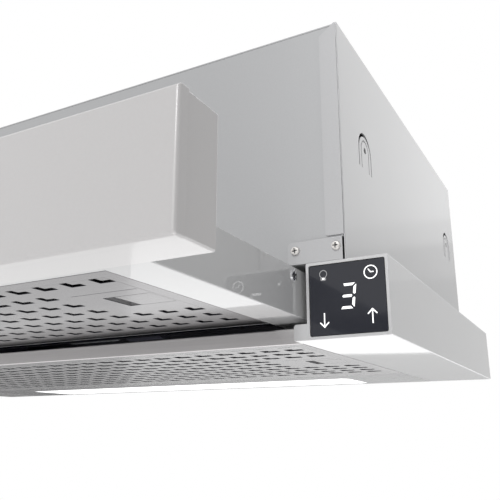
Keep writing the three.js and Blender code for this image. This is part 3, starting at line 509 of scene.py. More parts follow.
def makeGlass():
    look = glassLook
    sheet = newSheet("darkGlass")
    cloud = sheet.noise(sheet.place(), look["cloudScale"])
    smear = sheet.noise(sheet.place(look["smearStretch"]), look["smearScale"], 4.0, 0.6)
    return sheet.surface({
        "Base Color": sheet.mix(cloud, look["colour"], shade(look["colour"], look["cloudTone"])),
        "Roughness": look["roughness"] + look["smear"] * smear,
        "IOR": 1.5,
    })


lensLook = {
    "glow": 1.15, "spacing": 0.012, "ripple": 0.04,
    "grainScale": 1200.0, "tones": (0.84, 0.9), "roughness": 0.35, "grain": 0.1, "depth": 0.00001,
}


def makeLens():
    # The lens glows a little stronger over each of the chips behind it.
    look = lensLook
    sheet = newSheet("lampLens")
    spot = sheet.place()
    chips = (sheet.part(spot, 0) * (2 * math.pi / look["spacing"])).math("SINE") * 0.5 + 0.5
    grain = sheet.noise(spot, look["grainScale"])
    return sheet.surface({
        "Base Color": sheet.mix(grain, *[shade(white, tone) for tone in look["tones"]]),
        "Roughness": look["roughness"] + look["grain"] * grain,
        "Emission Color": sheet.mix(chips, shade(white, 1.0 - look["ripple"]), white),
        "Emission Strength": look["glow"],
        "Normal": sheet.bump(grain, look["depth"]),
    })


# Circuit boards: traces run along X in some fields and along Y in the others.
boardLook = {
    "colour": (0.028, 0.13, 0.075), "trace": (0.05, 0.2, 0.11), "pitch": 0.0024, "field": 3, "mixed": 0.8,
    "level": 0.75, "roughness": 0.42, "traceRoughness": 0.12, "depth": 0.00004,
}


def makeBoardGreen():
    look = boardLook
    sheet = newSheet("circuitBoard")
    spot = sheet.place()
    steps = 1 / look["pitch"]
    cell = sheet.part(sheet.cells(spot, steps / look["field"], "CHEBYCHEV", look["mixed"]), 0)
    waves = [(sheet.part(spot, axis) * (math.pi * steps)).math("SINE") for axis in (0, 1)]
    trace = (waves[0] * (cell > 0.5) + waves[1] * (cell < 0.5)) > look["level"]
    return sheet.surface({
        "Base Color": sheet.mix(trace, look["colour"], look["trace"]),
        "Roughness": look["roughness"] - look["traceRoughness"] * trace,
        "Normal": sheet.bump(trace, look["depth"]),
    })


# Expanded metal of the filter packs: diamond openings between thin strands, painted near black as the shade
# behind the slots.
packLook = {
    "colour": (0.03, 0.03, 0.036), "long": 0.004, "short": 0.0022, "strand": 0.32, "depth": 0.0002,
    "cloudScale": 40.0, "spread": 0.2, "roughness": 0.75, "cloud": 0.1, "gloss": 0.1,
}


def makePackMetal():
    look = packLook
    sheet = newSheet("expandedMesh")
    spot = sheet.place()
    along = sheet.part(spot, 0) * (math.pi / look["long"])
    across = sheet.part(spot, 1) * (math.pi / look["short"])
    first, second = [slope.math("SINE").math("ABSOLUTE") for slope in (along + across, along - across)]
    gap = first.math("MINIMUM", second)
    cloud = sheet.noise(spot, look["cloudScale"])
    return sheet.surface({
        "Base Color": sheet.varied(cloud, look["colour"], look["spread"]),
        "Roughness": look["roughness"] + look["cloud"] * cloud,
        "Specular IOR Level": look["gloss"],
        "Alpha": gap < look["strand"],
        "Normal": sheet.bump(gap, look["depth"]),
    })


# Printed marks that light up: colour and glow.
iconLooks = {"iconWhite": ((0.95, 0.95, 0.95), 0.85), "iconDim": ((0.26, 0.26, 0.265), 0.8)}
inkGrain = {"scale": 3000.0, "tone": 0.96, "roughness": 0.45}


def makeIconInk(name):
    colour, glow = iconLooks[name]
    sheet = newSheet(name)
    grain = sheet.noise(sheet.place(), inkGrain["scale"])
    tone = sheet.mix(grain, shade(colour, inkGrain["tone"]), colour)
    return sheet.surface({
        "Base Color": tone,
        "Roughness": inkGrain["roughness"],
        "Emission Color": tone,
        "Emission Strength": glow,
    })


finishes = {
    "darkGlass": makeGlass(),
    "lampLens": makeLens(),
    "circuitBoard": makeBoardGreen(),
    "packMetal": makePackMetal(),
}
for make, looks in (
    (makePaint, paintLooks), (makeSteel, steelLooks), (makeZinc, zincLooks),
    (makePlastic, plasticLooks), (makeIconInk, iconLooks),
):
    finishes.update({name: make(name) for name in looks})
print("finishes:", len(finishes))

# Points of a drawn outline closer than weld, in millimetres, become one; an edge that bends by more
# than sharpAngle degrees is shaded sharp.
weld = 0.0005
sharpAngle = 38


def inMetres(look):
    # The same look with its lengths, written in millimetres, in metres; words stay.
    if isinstance(look, dict):
        return {key: inMetres(value) for key, value in look.items()}
    if isinstance(look, tuple):
        return tuple(inMetres(value) for value in look)
    return look * mm if isinstance(look, (int, float)) else look


# Outlines are lists of points: (Y, Z) for a run along X, (X, Z) for Y and (X, Y) for Z.
def rectangle(u0, u1, v0, v1):
    (u0, u1), (v0, v1) = sorted((u0, u1)), sorted((v0, v1))
    return [(u0, v0), (u1, v0), (u1, v1), (u0, v1)]


def arc(centre, radius, start, end, steps=12):
    turns = [math.radians(start + (end - start) * i / steps) for i in range(steps + 1)]
    return [(centre[0] + radius * math.cos(t), centre[1] + radius * math.sin(t)) for t in turns]


def circle(centre, radius, steps=48):
    return arc(centre, radius, 0, 360, steps)[:-1]


def softened(points, radius, steps=4):
    # Every corner becomes an arc; radius is one number or one for each corner.
    result = []
    for i, corner in enumerate(points):
        here = Vector(corner)
        before = Vector(points[i - 1]) - here
        after = Vector(points[(i + 1) % len(points)]) - here
        size = radius[i] if isinstance(radius, (list, tuple)) else radius
        angle = before.angle(after)
        if size <= 0 or angle > math.pi - 0.01:
            result.append(tuple(here))
            continue
        reach = min(size / math.tan(angle / 2), 0.49 * min(before.length, after.length))
        start = here + before.normalized() * reach
        end = here + after.normalized() * reach
        half = (before.normalized() + after.normalized()).normalized()
        middle = here + half * (reach / math.cos(angle / 2))
        first, last = start - middle, end - middle
        turn = math.atan2(first.x * last.y - first.y * last.x, first.dot(last))
        for k in range(steps + 1):
            c, s = math.cos(turn * k / steps), math.sin(turn * k / steps)
            result.append((middle.x + first.x * c - first.y * s, middle.y + first.x * s + first.y * c))
    return result


def placed(axis, u, v, w):
    return {"x": (w, u, v), "y": (u, w, v), "z": (u, v, w)}[axis]


def mirrored(side, points):
    return [(side * u, v) for u, v in points]


def spread(low, high):
    # How far the inner and the outer face of a side part lie from the middle.
    return sorted((abs(low.x), abs(high.x)))


def newPiece(name, form):
    bmesh.ops.recalc_face_normals(form, faces=form.faces)
    if form.calc_volume(signed=True) < 0:
        bmesh.ops.reverse_faces(form, faces=form.faces)
    return meshed(name, form)


def evaluated(thing):
    graph = bpy.context.evaluated_depsgraph_get()
    return bpy.data.meshes.new_from_object(thing.evaluated_get(graph))


def plate(name, axis, outline, low, high, holes=(), edge=0.0, rounds=1):
    # A filled outline run along an axis, with all its edges rounded by edge. It is drawn in millimetres.
    low, high = sorted((low, high))
    curve = bpy.data.curves.new(name, "CURVE")
    curve.dimensions = "2D"
    curve.fill_mode = "BOTH"
    curve.extrude = (high - low) / 2 / mm - edge / mm
    if edge:
        curve.bevel_depth = edge / mm
        curve.bevel_resolution = rounds
        curve.offset = -edge / mm
    for loop in [outline, *holes]:
        spline = curve.splines.new("POLY")
        spline.points.add(len(loop) - 1)
        spline.use_cyclic_u = True
        for point, (u, v) in zip(spline.points, loop):
            point.co = (u / mm, v / mm, 0.0, 1.0)
    drawn = linked(name, curve)
    mesh = evaluated(drawn)
    form = bmesh.new()
    form.from_mesh(mesh)
    bpy.data.objects.remove(drawn)
    bpy.data.meshes.remove(mesh)
    bmesh.ops.remove_doubles(form, verts=form.verts, dist=weld)
    middle = (low + high) / 2
    for vertex in form.verts:
        u, v, w = vertex.co * mm
        vertex.co = placed(axis, u, v, w + middle)
    return newPiece(name, form)


def lathe(name, axis, profile, centre, segments):
    # profile holds (radius, place along the axis); it starts and ends on the axis, at a radius of 0.
    form = bmesh.new()
    turns = [2 * math.pi * i / segments for i in range(segments)]
    rings = []
    for radius, along in profile:
        points = [(radius * math.cos(t), radius * math.sin(t)) for t in (turns if radius else turns[:1])]
        rings.append([form.verts.new(placed(axis, u, v, along)) for u, v in points])
    for first, second in zip(rings, rings[1:]):
        for i in range(segments):
            places = ((first, i), (first, i + 1), (second, i + 1), (second, i))
            form.faces.new(dict.fromkeys(ring[k % len(ring)] for ring, k in places))
    bmesh.ops.translate(form, verts=form.verts, vec=centre)
    return newPiece(name, form)


def frameRing(name, low, high, profile):
    # A rectangular frame from the corners low and high; profile holds (inset, height).
    form = bmesh.new()
    loops = []
    for inset, z in profile:
        corners = rectangle(low[0] + inset, high[0] - inset, low[1] + inset, high[1] - inset)
        loops.append([form.verts.new((x, y, z)) for x, y in corners])
    for first, second in zip(loops, loops[1:] + loops[:1]):
        for i in range(4):
            j = (i + 1) % 4
            form.faces.new((first[i], first[j], second[j], second[i]))
    return newPiece(name, form)


def gathered(first, *others):
    # Loose shells that stay apart in one piece.
    form = bmesh.new()
    for part in (first, *others):
        form.from_mesh(part.data)
    form.to_mesh(first.data)
    form.free()
    for part in others:
        bpy.data.objects.remove(part)
    return first


def settle(piece):
    # Bakes the modifiers into the mesh.
    mesh = evaluated(piece)
    piece.modifiers.clear()
    old, piece.data = piece.data, mesh
    bpy.data.meshes.remove(old)


def cutAway(piece, *tools):
    for tool in tools:
        change = piece.modifiers.new("change", "BOOLEAN")
        change.operation = "DIFFERENCE"
        change.solver = "EXACT"
        change.object = tool
    settle(piece)
    for tool in tools:
        bpy.data.objects.remove(tool)


def roundEdges(piece, width, segments, angle):
    change = piece.modifiers.new("edges", "BEVEL")
    change.width = width
    change.segments = segments
    change.limit_method = "ANGLE"
    change.angle_limit = math.radians(angle)
    settle(piece)


def dress(piece, finish, slot, body, *replaced):
    # Gives a piece its shading, material and body.
    mesh = piece.data
    mesh.materials.clear()
    mesh.materials.append(finishes[finish])
    mesh.shade_smooth()
    mesh.set_sharp_from_angle(angle=math.radians(sharpAngle))
    weights = piece.modifiers.new("normals", "WEIGHTED_NORMAL")
    weights.keep_sharp = True
    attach(piece, body)
    if replaced:
        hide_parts(*replaced)


def shadeFaces(piece, finish, chosen):
    # Gives the faces for which chosen(face) holds a second finish.
    piece.data.materials.append(finishes[finish])
    for face in piece.data.polygons:
        if chosen(face):
            face.material_index = 1


# Upper body: side panels folded round the front, each with two lanced tongues.
sidePanel = inMetres({
    "sheet": 1.0,
    "fold": 0.35,
    "foldInside": 0.21,
    "seam": (0.35, 0.7, 0.7),
    "trim": 0.35,
    "trimRise": 2,
    "corner": 1.6,
    "flange": 10.9,
    "flangeLift": 13.7,
    "chamfer": (9.2, 6.6),
    "tongueFront": 41.8,
    "tongueRear": 34.0,
    "tongueLift": 64.2,
    "tongue": (23.3, 24.0),
    "slot": (1.2, 2.3),
    "groove": (14.4, 19.6),
    "grooveStroke": 1.0,
    "grooveDepth": 0.6,
    "hole": 2.0,
    "holeLift": 13.0,
    "edge": 0.12,
})


def archBand(centre, foot, size, stroke):
    # The band under a round arch of this width and height, as thick as stroke at its legs and its top.
    outer, inner = size[0] / 2, size[0] / 2 - stroke[0]
    spring = foot + size[1] - outer
    innerSpring = foot + size[1] - stroke[1] - inner
    up = [(centre - outer, foot), *arc((centre, spring), outer, 180, 0, 24), (centre + outer, foot)]
    down = [(centre + inner, foot), *arc((centre, innerSpring), inner, 0, 180, 24), (centre - inner, foot)]
    return up + down


def makeSidePanel(word, side):
    node = "body_side_" + word.lower()
    low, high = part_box(node)
    look = sidePanel
    out = spread(low, high)[1]
    sheet, front, rear = look["sheet"], low.y, high.y
    inner = out - look["flange"]
    profile = [
        (inner, front), (out, front), (out, rear), (out - sheet, rear), (out - sheet, front + sheet),
        (inner, front + sheet),
    ]
    bends = [0, look["fold"], 0, 0, look["foldInside"], 0]
    outline = mirrored(side, softened(profile, bends, 6))
    panel = plate("sidePanel" + word, "z", outline, low.z, high.z)
    # The folded flange ends above the brackets and has a cut corner at its top.
    foot = low.z + look["flangeLift"]
    limit = out - sheet + look["trim"]
    bend = (inner + look["corner"], foot + look["corner"])
    below = [
        (inner - mm, low.z - mm), (limit, low.z - mm), (limit, foot), (bend[0], foot),
        *arc(bend, look["corner"], 270, 180, 5), (inner - mm, foot + look["trimRise"]),
    ]
    wide, tall = look["chamfer"]
    corner = [
        (inner - mm, high.z + mm), (inner + wide, high.z + mm), (inner + wide, high.z),
        (inner, high.z - tall), (inner - mm, high.z - tall),
    ]
    near, far, deep = look["seam"]
    seam = rectangle(side * (out - far), side * (out - near), foot - 0.01 * mm, high.z + mm)
    tools = [
        plate("trim", "y", mirrored(side, below), front - mm, front + 2 * mm),
        plate("seam", "y", seam, front - mm, front + deep),
        plate("trim", "y", mirrored(side, corner), front - mm, front + 2 * mm),
    ]
    # Each tongue is a slot round an arch, with a groove pressed inside it and a hole for a wood screw.
    foot = low.z + look["tongueLift"]
    through = (side * (out - 3 * mm), side * (out + 2 * mm))
    bed = (side * (out - look["grooveDepth"]), through[1])
    for centre in (front + look["tongueFront"], rear - look["tongueRear"]):
        tools.append(plate("slot", "x", archBand(centre, foot, look["tongue"], look["slot"]), *through))
        groove = archBand(centre, foot, look["groove"], (look["grooveStroke"],) * 2)
        tools.append(plate("groove", "x", groove, *bed))
        tools.append(plate("hole", "x", circle((centre, foot + look["holeLift"]), look["hole"]), *through))
    cutAway(panel, *tools)
    roundEdges(panel, look["edge"], 1, 30)
    dress(panel, "sidePaint", "body_paint", "housing", node)
    # Painted shade: the panel's faces that look into the hood, behind the front, take the dark shade finish.
    shadeFaces(panel, "shadePaint", lambda face: (
        face.normal.x * side < -0.5 and face.center.y > front + sheet))


# The front sheet is notched at its lower corners, behind the slits beside the brackets.
bodyFrontLook = inMetres({
    "edge": 0.2, "notch": (2.2, 12.6),
    "foot": (3, 16, 0.3, 1), "footEdge": 0.1,
})


def makeBodyFront():
    low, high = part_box("body_front_sheet")
    look = bodyFrontLook
    wide, tall = look["notch"]
    outline = [
        (high.x - wide, low.z), (high.x - wide, low.z + tall), (high.x, low.z + tall), (high.x, high.z),
        (low.x, high.z), (low.x, low.z + tall), (low.x + wide, low.z + tall), (low.x + wide, low.z),
    ]
    front = plate("bodyFront", "y", outline, low.y, high.y, edge=look["edge"])
    dress(front, "bodyPaint", "body_paint", "housing", "body_front_sheet")
    # Painted shade: the face toward the inside of the hood takes the dark shade finish.
    shadeFaces(front, "shadePaint", lambda face: face.normal.y > 0.5)
    # The sheet's foot is folded inward over the drawer.
    start, deep, lift, thick = look["foot"]
    outline = rectangle(low.x + start, high.x - start, high.y, high.y + deep)
    foot = plate("bodyFrontFoot", "z", outline, low.z + lift, low.z + lift + thick, edge=look["footEdge"])
    dress(foot, "bodyPaint", "body_paint", "housing")


# Corner brackets, each dimpled round its two cross-head screws.
bracketLook = inMetres({"round": 2.4, "outerRound": 0.3, "edge": 0.2, "dimple": (0.12, 0.35)})
screwLook = {
    "finish": "screwSteel", "body": "housing", "steps": 40,
    "crown": 0.4 * mm, "rim": 0.15 * mm, "seat": 1.6 * mm, "shank": 1.5 * mm,
    "wing": 1.5 * mm, "wingWidth": 0.8 * mm, "recess": 0.9 * mm, "shadeDepth": 0.2 * mm,
    "bows": 8, "turns": (-3, 7),
}


def makeBracket(word, side):
    node = "corner_bracket_" + word.lower()
    low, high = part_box(node)
    inner, outer = bracketLook["round"], bracketLook["outerRound"]
    rounds = [inner, outer, outer, inner] if side > 0 else [outer, inner, inner, outer]
    outline = softened(rectangle(low.x, high.x, low.z, high.z), rounds, 8)
    piece = plate("cornerBracket" + word, "y", outline, low.y, high.y, edge=bracketLook["edge"])
    room, deep = bracketLook["dimple"]
    for number in (1, 2) if side > 0 else (3, 4):
        screwLow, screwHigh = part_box(f"bracket_screw_{number}")
        middle = (screwLow + screwHigh) / 2
        hole = circle((middle.x, middle.z), (screwHigh.x - screwLow.x) / 2 + room)
        cutAway(piece, plate("dimple", "y", hole, low.y - mm, low.y + deep))
    dress(piece, "sidePaint", "body_paint", "housing", node)


def crossOutline(middle, wing, width, turn):
    # A cross whose four wings narrow toward their ends.
    half = width / 2
    end = half * 0.7
    cross = [
        (half, half), (wing, end), (wing, -end), (half, -half), (end, -wing), (-end, -wing),
        (-half, -half), (-wing, -end), (-wing, end), (-half, half), (-end, wing), (end, wing),
    ]
    c, s = math.cos(math.radians(turn)), math.sin(math.radians(turn))
    return [(middle[0] + u * c - v * s, middle[1] + u * s + v * c) for u, v in cross]


def makeHead(name, look, axis, way, middle, tip, profile, turn, *node):
    # A turned screw head that faces along its axis the way given, with a cross cut into it whose deep faces
    # get painted shade.
    head = lathe(name, axis, profile, placed(axis, *middle, 0), look["steps"])
    cross = crossOutline(middle, look["wing"], look["wingWidth"], turn)
    cutAway(head, plate("cross", axis, cross, tip - way * look["recess"], tip + way * mm))
    dress(head, look["finish"], "bright_steel", look["body"], *node)

    def inCross(face):
        spot = list(face.center)
        depth = way * (tip - spot.pop("xyz".index(axis)))
        return depth > look["shadeDepth"] and math.dist(spot, middle) < look["wing"] * 1.05

    shadeFaces(head, "darkSteel", inCross)


def makeScrew(number):
    node = f"bracket_screw_{number}"
    look = screwLook
    low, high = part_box(node)
    middle, radius, top = (low + high) / 2, (high.x - low.x) / 2, low.y
    profile = [(0.0, top)]
    for i in range(1, look["bows"] + 1):
        bow = math.radians(i * 90 / look["bows"])
        sink = look["crown"] * (1 - math.cos(bow)) ** 2
        profile.append(((radius - look["rim"]) * math.sin(bow), top + sink))
    seat, shank = top + look["seat"], look["shank"]
    profile += [(radius, seat), (shank, seat), (shank, high.y), (0.0, high.y)]
    turn = look["turns"][number % 2]
    makeHead(f"bracketScrew{number}", look, "y", -1, (middle.x, middle.z), top, profile, turn, node)


for word, side in sides:
    makeSidePanel(word, side)
    makeBracket(word, side)
makeBodyFront()
for number in range(1, 5):
    makeScrew(number)

# Pan-head screws along the long edges of the top and in the flange of the collar.
topLook = {
    "finish": "screwSteel", "body": "housing", "steps": 32,
    "radius": 2.6 * mm, "height": 1.7 * mm, "foot": 0.2 * mm,
    "crown": ((0.0, 0.0), (0.45, 0.05 * mm), (0.8, 0.3 * mm), (0.96, 0.8 * mm)),
    "wing": 1.5 * mm, "wingWidth": 0.8 * mm, "recess": 0.9 * mm, "shadeDepth": 0.4 * mm, "turnRate": 400,
    "margin": 9 * mm, "places": (-30 * mm, 90 * mm, 215 * mm),
    "flange": 1.6 * mm, "flangeRadius": 65 * mm, "flangeTurns": (45, 135, 225, 315),
}


def makePanScrew(name, x, y, level):
    look = topLook
    radius, foot, top = look["radius"], look["foot"], level + look["height"]
    profile = [(radius * share, top - drop) for share, drop in look["crown"]]
    profile += [(radius, level + foot), (radius, level - foot), (0.0, level - foot)]
    # Each cross stands at another angle.
    turn = look["turnRate"] * (x + y) / mm % 90
    makeHead(name, look, "z", 1, (x, y), top, profile, turn)


def makeTopDetails():
    look = topLook
    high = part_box("body_top_sheet")[1]
    spots = [(side * (high.x - look["margin"]), y, high.z) for side in (1, -1) for y in look["places"]]
    base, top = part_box("outlet_collar")
    middle, reach = (base + top) / 2, look["flangeRadius"]
    for turn in map(math.radians, look["flangeTurns"]):
        x, y = middle.x + reach * math.cos(turn), middle.y + reach * math.sin(turn)
        spots.append((x, y, base.z + look["flange"]))
    for number, spot in enumerate(spots, 1):
        makePanScrew(f"topScrew{number:02d}", *spot)


makeTopDetails()
print("upper body done")

# Ends of the base: a box with a ledge for the filter and an open front.
endBox = inMetres({
    "wall": 1.6,
    "edge": 0.7,
    "frontEdge": 0.25,
    "footWidth": 7.5,
    "footHeight": 8.7,
    "footEdge": 1.6,
    "stepEdge": 0.3,
    "lowerEdge": 0.7,
    "mouthRound": 1.0,
    "window": {"bottom": 13.0, "top": 36.0, "front": 12.0, "rear": 6.0},
})


def makeEndBox(word, side):
    node = "base_side_" + word.lower()
    low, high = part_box(node)
    look = endBox
    inner, out = spread(low, high)
    wallFace = inner + look["footWidth"]
    step = low.z + look["footHeight"]
    corners = [
        (inner, low.z), (out, low.z), (out, high.z), (wallFace, high.z), (wallFace, step), (inner, step),
    ]
    rounds = [look["lowerEdge"], look["edge"], look["edge"], look["edge"], look["stepEdge"], look["footEdge"]]
    outline = mirrored(side, softened(corners, rounds, 4))
    box = plate("endBox" + word, "y", outline, low.y, high.y, edge=look["frontEdge"])
    wall = look["wall"]
    mouth = rectangle(side * (wallFace + wall), side * (out - wall), low.z + wall, high.z - wall)
    cavity = plate("cavity", "y", softened(mouth, look["mouthRound"], 5), low.y - mm, high.y - wall)
    hole = look["window"]
    opening = rectangle(
        low.y + hole["front"], high.y - hole["rear"], low.z + hole["bottom"], low.z + hole["top"]
    )
    window = plate("window", "x", opening, side * (wallFace - mm), side * (wallFace + wall + mm))
    cutAway(box, cavity, window)
    dress(box, "basePaint", "body_paint", "housing", node)


# Control glass with its marks: lamp, clock, down, up and the speed digit. The marks are laid out in
# millimetres.
glassSeat = inMetres({"round": 1.2, "edge": 0.25})
marks = {
    "proud": 0.06 * mm,
    "sunk": 0.02 * mm,
    "clock": {"at": (289.7, 32.3), "radius": 3.6, "stroke": 0.54, "hands": ((-1.25, 1.7), (1.65, 0.05))},
    "bulb": {
        "at": (264.2, 34.0), "radius": 2.15, "stroke": 0.34, "neck": 38, "base": (1.5, 1.75),
        # Inset at the sides, at the foot and at the top, corner and steps of the cap's three outlines.
        "caps": ((0, 0, -0.05, 0.55, 5), (0.34, 0.34, 0.3, 0.3, 4), (0.75, 0.5, 0.45, 0.25, 4)),
    },
    "digit": {
        "at": (277.4, 21.2), "size": (7.7, 13.2), "stroke": 1.35, "slant": 0.12,
        "gap": 0.7, "cuts": (1.6, 1.4),
    },
    "down": {"at": (264.2, 9.8), "size": (4.8, 7.2), "stroke": 0.62},
    "up": {"at": (289.7, 9.9), "size": (4.8, 7.2), "stroke": 0.62},
}


def makeGlassPane():
    low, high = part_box("control_glass")
    outline = softened(rectangle(low.x, high.x, low.z, high.z), glassSeat["round"], 6)
    pane = plate("controlGlass", "y", outline, low.y, high.y, edge=glassSeat["edge"], rounds=2)
    dress(pane, "darkGlass", "dark_glass", "housing", "control_glass")


def stroke(points, width):
    # A flat line of even width with square ends.
    left, right = [], []
    for i, point in enumerate(points):
        here = Vector(point)
        before = Vector(points[max(i - 1, 0)])
        after = Vector(points[min(i + 1, len(points) - 1)])
        way = (after - before).normalized()
        bend = 1.0
        if 0 < i < len(points) - 1:
            half = (here - before).angle(after - here) / 2
            bend = 1 / max(math.cos(half), 0.3)
        off = Vector((-way.y, way.x)) * (width / 2 * bend)
        left.append(tuple(here + off))
        right.append(tuple(here - off))
    return left + right[::-1]


def makeMark(name, ink, outlines, holes=()):
    # The holes are cut out of the first outline.
    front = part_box("control_glass")[0].y
    groups = [[(u * mm, v * mm) for u, v in outline] for outline in outlines]
    inner = [[(u * mm, v * mm) for u, v in hole] for hole in holes]
    reach = (front - marks["proud"], front + marks["sunk"])
    parts = [plate(name, "y", outline, *reach, () if i else inner) for i, outline in enumerate(groups)]
    dress(gathered(*parts), ink, "dark_glass", "housing")


def makeClock():
    look = marks["clock"]
    x, z = look["at"]
    ring = circle((x, z), look["radius"], 56)
    hollow = circle((x, z), look["radius"] - look["stroke"], 56)
    (u0, v0), (u1, v1) = look["hands"]
    hands = stroke([(x + u0, z + v0), (x, z), (x + u1, z + v1)], look["stroke"])
    makeMark("clockMark", "iconWhite", [ring, hands], [hollow])


def makeBulb():
    look = marks["bulb"]
    x, z = look["at"]
    start, end = -90 + look["neck"], 270 - look["neck"]
    lineOut = arc((x, z), look["radius"], start, end, 40)
    lineIn = arc((x, z), look["radius"] - look["stroke"], end, start, 40)
    half, drop = look["base"]
    neckZ = z - look["radius"] * math.cos(math.radians(look["neck"]))
    caps = []
    for inset, lift, top, corner, steps in look["caps"]:
        cap = rectangle(x - half + inset, x + half - inset, neckZ - drop + lift, neckZ - top)
        caps.append(softened(cap, corner, steps))
    base, hollow, glow = caps
    makeMark("bulbMark", "iconDim", [base, lineOut + lineIn], [hollow])
    makeMark("bulbCap", "iconWhite", [glow])


def makeArrow(name, look, way):
    x, z = look["at"]
    wide, tall = look["size"][0] / 2, look["size"][1] / 2
    tip = z + way * tall
    # The shaft ends inside the tip of the head.
    shaft = stroke([(x, z - way * tall), (x, tip - way * look["stroke"] * 0.6)], look["stroke"])
    head = stroke([(x - wide, tip - way * wide), (x, tip), (x + wide, tip - way * wide)], look["stroke"])
    makeMark(name, "iconWhite", [head, shaft])


def makeDigit():
    look = marks["digit"]
    x, z = look["at"]
    w, h = [size / 2 for size in look["size"]]
    t, gap, slant = look["stroke"], look["gap"], look["slant"]
    tall, wide = look["cuts"]
    inner = w - t
    top = [(-w + gap, h), (w - gap, h), (inner - gap, h - t), (-w + t, h - t)]
    upper = [(w, h - gap), (w, gap * tall), (w - t / 2, gap), (inner, t / 2 + gap), (inner, h - t - gap)]
    middle = [
        (-w + t / 2, 0), (-w + t, t / 2), (inner - gap, t / 2),
        (w - t / 2 - gap * wide, 0), (inner - gap, -t / 2), (-w + t, -t / 2),
    ]
    lower, bottom = [[(u, -v) for u, v in bar] for bar in (upper, top)]
    bars = (top, upper, middle, lower, bottom)
    makeMark("digitMark", "iconWhite", [[(x + u + slant * v, z + v) for u, v in bar] for bar in bars])


for word, side in sides:
    makeEndBox(word, side)
makeGlassPane()
makeClock()
makeBulb()
makeArrow("downMark", marks["down"], -1)
makeArrow("upMark", marks["up"], 1)
makeDigit()
print("end boxes and controls done")

# Front of the drawer: a face plate over a shallow tray.
panelLook = {
    "corners": (0.8 * mm, 0.15 * mm),
    "steps": 6,
    "plates": {
        "front_plate": {"name": "frontPlate", "gap": 0.0, "front": 1.3 * mm, "rear": 0.2 * mm},
        "front_tray": {"name": "frontTray", "gap": 0.02 * mm, "front": 0.2 * mm, "rear": 0.5 * mm},
    },
}


def makeCushion(node, look):
    # A plate facing the front; its front and its rear edges have a round of their own.
    low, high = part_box(node)
    front, rear, start = look["front"], look["rear"], low.y + look["gap"]
    form = bmesh.new()
    rings = []
    turns = [math.radians(90 * i / panelLook["steps"]) for i in range(panelLook["steps"] + 1)]
    sections = [(front * (1 - math.sin(t)), start + front * (1 - math.cos(t))) for t in turns]
    sections += [(rear * (1 - math.cos(t)), high.y - rear * (1 - math.sin(t))) for t in turns]
    lower, upper = panelLook["corners"]
    for inset, y in sections:
        outline = rectangle(low.x + inset, high.x - inset, low.z + inset, high.z - inset)
        outline = softened(outline, [lower, lower, upper, upper], 5)
        rings.append([form.verts.new((u, y, v)) for u, v in outline])
    for first, second in zip(rings, rings[1:]):
        for i, corner in enumerate(first):
            j = (i + 1) % len(first)
            form.faces.new((corner, first[j], second[j], second[i]))
    form.faces.new(rings[0])
    form.faces.new(rings[-1])
    dress(newPiece(look["name"], form), "frontPaint", "front_paint", "drawer", node)


# Drawer: painted folded sides and a front rail of the same sheet.
drawerLook = inMetres({
    "sheet": 1.0,
    "bend": 0.6,
    "inside": 0.2,
    "coverInset": 2.6,
    "topFlange": 10.4,
    "railWall": 1.2,
    "railLift": 7.2,
    "edge": 0.12,
})


def makeDrawerSide(word, side):
    node = "drawer_side_" + word.lower()
    low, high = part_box(node)
    look = drawerLook
    inner, out = spread(low, high)
    sheet = look["sheet"]
    web, edge = out - sheet, out - look["topFlange"]
    corners = [
        (inner, low.z), (out, low.z), (out, high.z), (edge, high.z),
        (edge, high.z - sheet), (web, high.z - sheet), (web, low.z + sheet), (inner, low.z + sheet),
    ]
    rounds = [0, look["bend"], look["inside"], 0, 0, look["inside"], look["inside"], 0]
    outline = mirrored(side, softened(corners, rounds, 5))
    piece = plate("drawerSide" + word, "y", outline, low.y, high.y, edge=look["edge"])
    dress(piece, "drawerPaint", "front_paint", "drawer", node)


def makeDrawerFrontRail():
    low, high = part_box("drawer_front_rail")
    look = drawerLook
    wall, lift = look["railWall"], low.z + look["railLift"]
    corners = [
        (low.y, low.z), (high.y, low.z), (high.y, lift), (high.y - wall, lift),
        (high.y - wall, low.z + wall), (low.y + wall, low.z + wall), (low.y + wall, high.z), (low.y, high.z),
    ]
    rounds = [look["bend"], look["bend"], 0, 0, look["inside"], look["inside"], 0, 0]
    piece = plate("drawerFrontRail", "x", softened(corners, rounds, 5), low.x, high.x, edge=look["edge"])
    dress(piece, "drawerPaint", "front_paint", "drawer", "drawer_front_rail")


# The screw on each drawer side, close to the base.
stopScrew = {
    "finish": "brightSteel", "body": "drawer", "steps": 40,
    "radius": 3.0 * mm, "shoulder": (0.8, 0.1 * mm), "crown": 0.35 * mm,
    "wing": 2.2 * mm, "wingWidth": 1.1 * mm, "recess": 0.8 * mm, "shadeDepth": 0.3 * mm,
    "turn": 20, "forward": 6 * mm,
}


def makeStopScrew(word, side):
    node = "stop_screw_" + word.lower()
    look = stopScrew
    low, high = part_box(node)
    inner, out = spread(low, high)
    radius, middle = look["radius"], (low + high) / 2
    share, drop = look["shoulder"]
    crown = out - look["crown"]
    profile = [(0.0, out), (radius * share, out - drop), (radius, crown), (radius, inner), (0.0, inner)]
    profile = [(reach, side * along) for reach, along in profile]
    spot = (middle.y - look["forward"], middle.z)
    makeHead("stopScrew" + word, look, "x", side, spot, side * out, profile, look["turn"], node)


def copied(name, node):
    # A piece with the form of a CAD node.
    return linked(name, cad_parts[node].data.copy())


def makeDrawerCover():
    # The cover lies on the sides' flanges, a little in from their outer edges.
    piece = copied("drawerCover", "drawer_cover")
    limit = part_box("drawer_cover")[1].x - drawerLook["coverInset"]
    for vertex in piece.data.vertices:
        if abs(vertex.co.x) > limit:
            vertex.co.x = math.copysign(limit, vertex.co.x)
    dress(piece, "bodyPaint", "body_paint", "drawer", "drawer_cover")


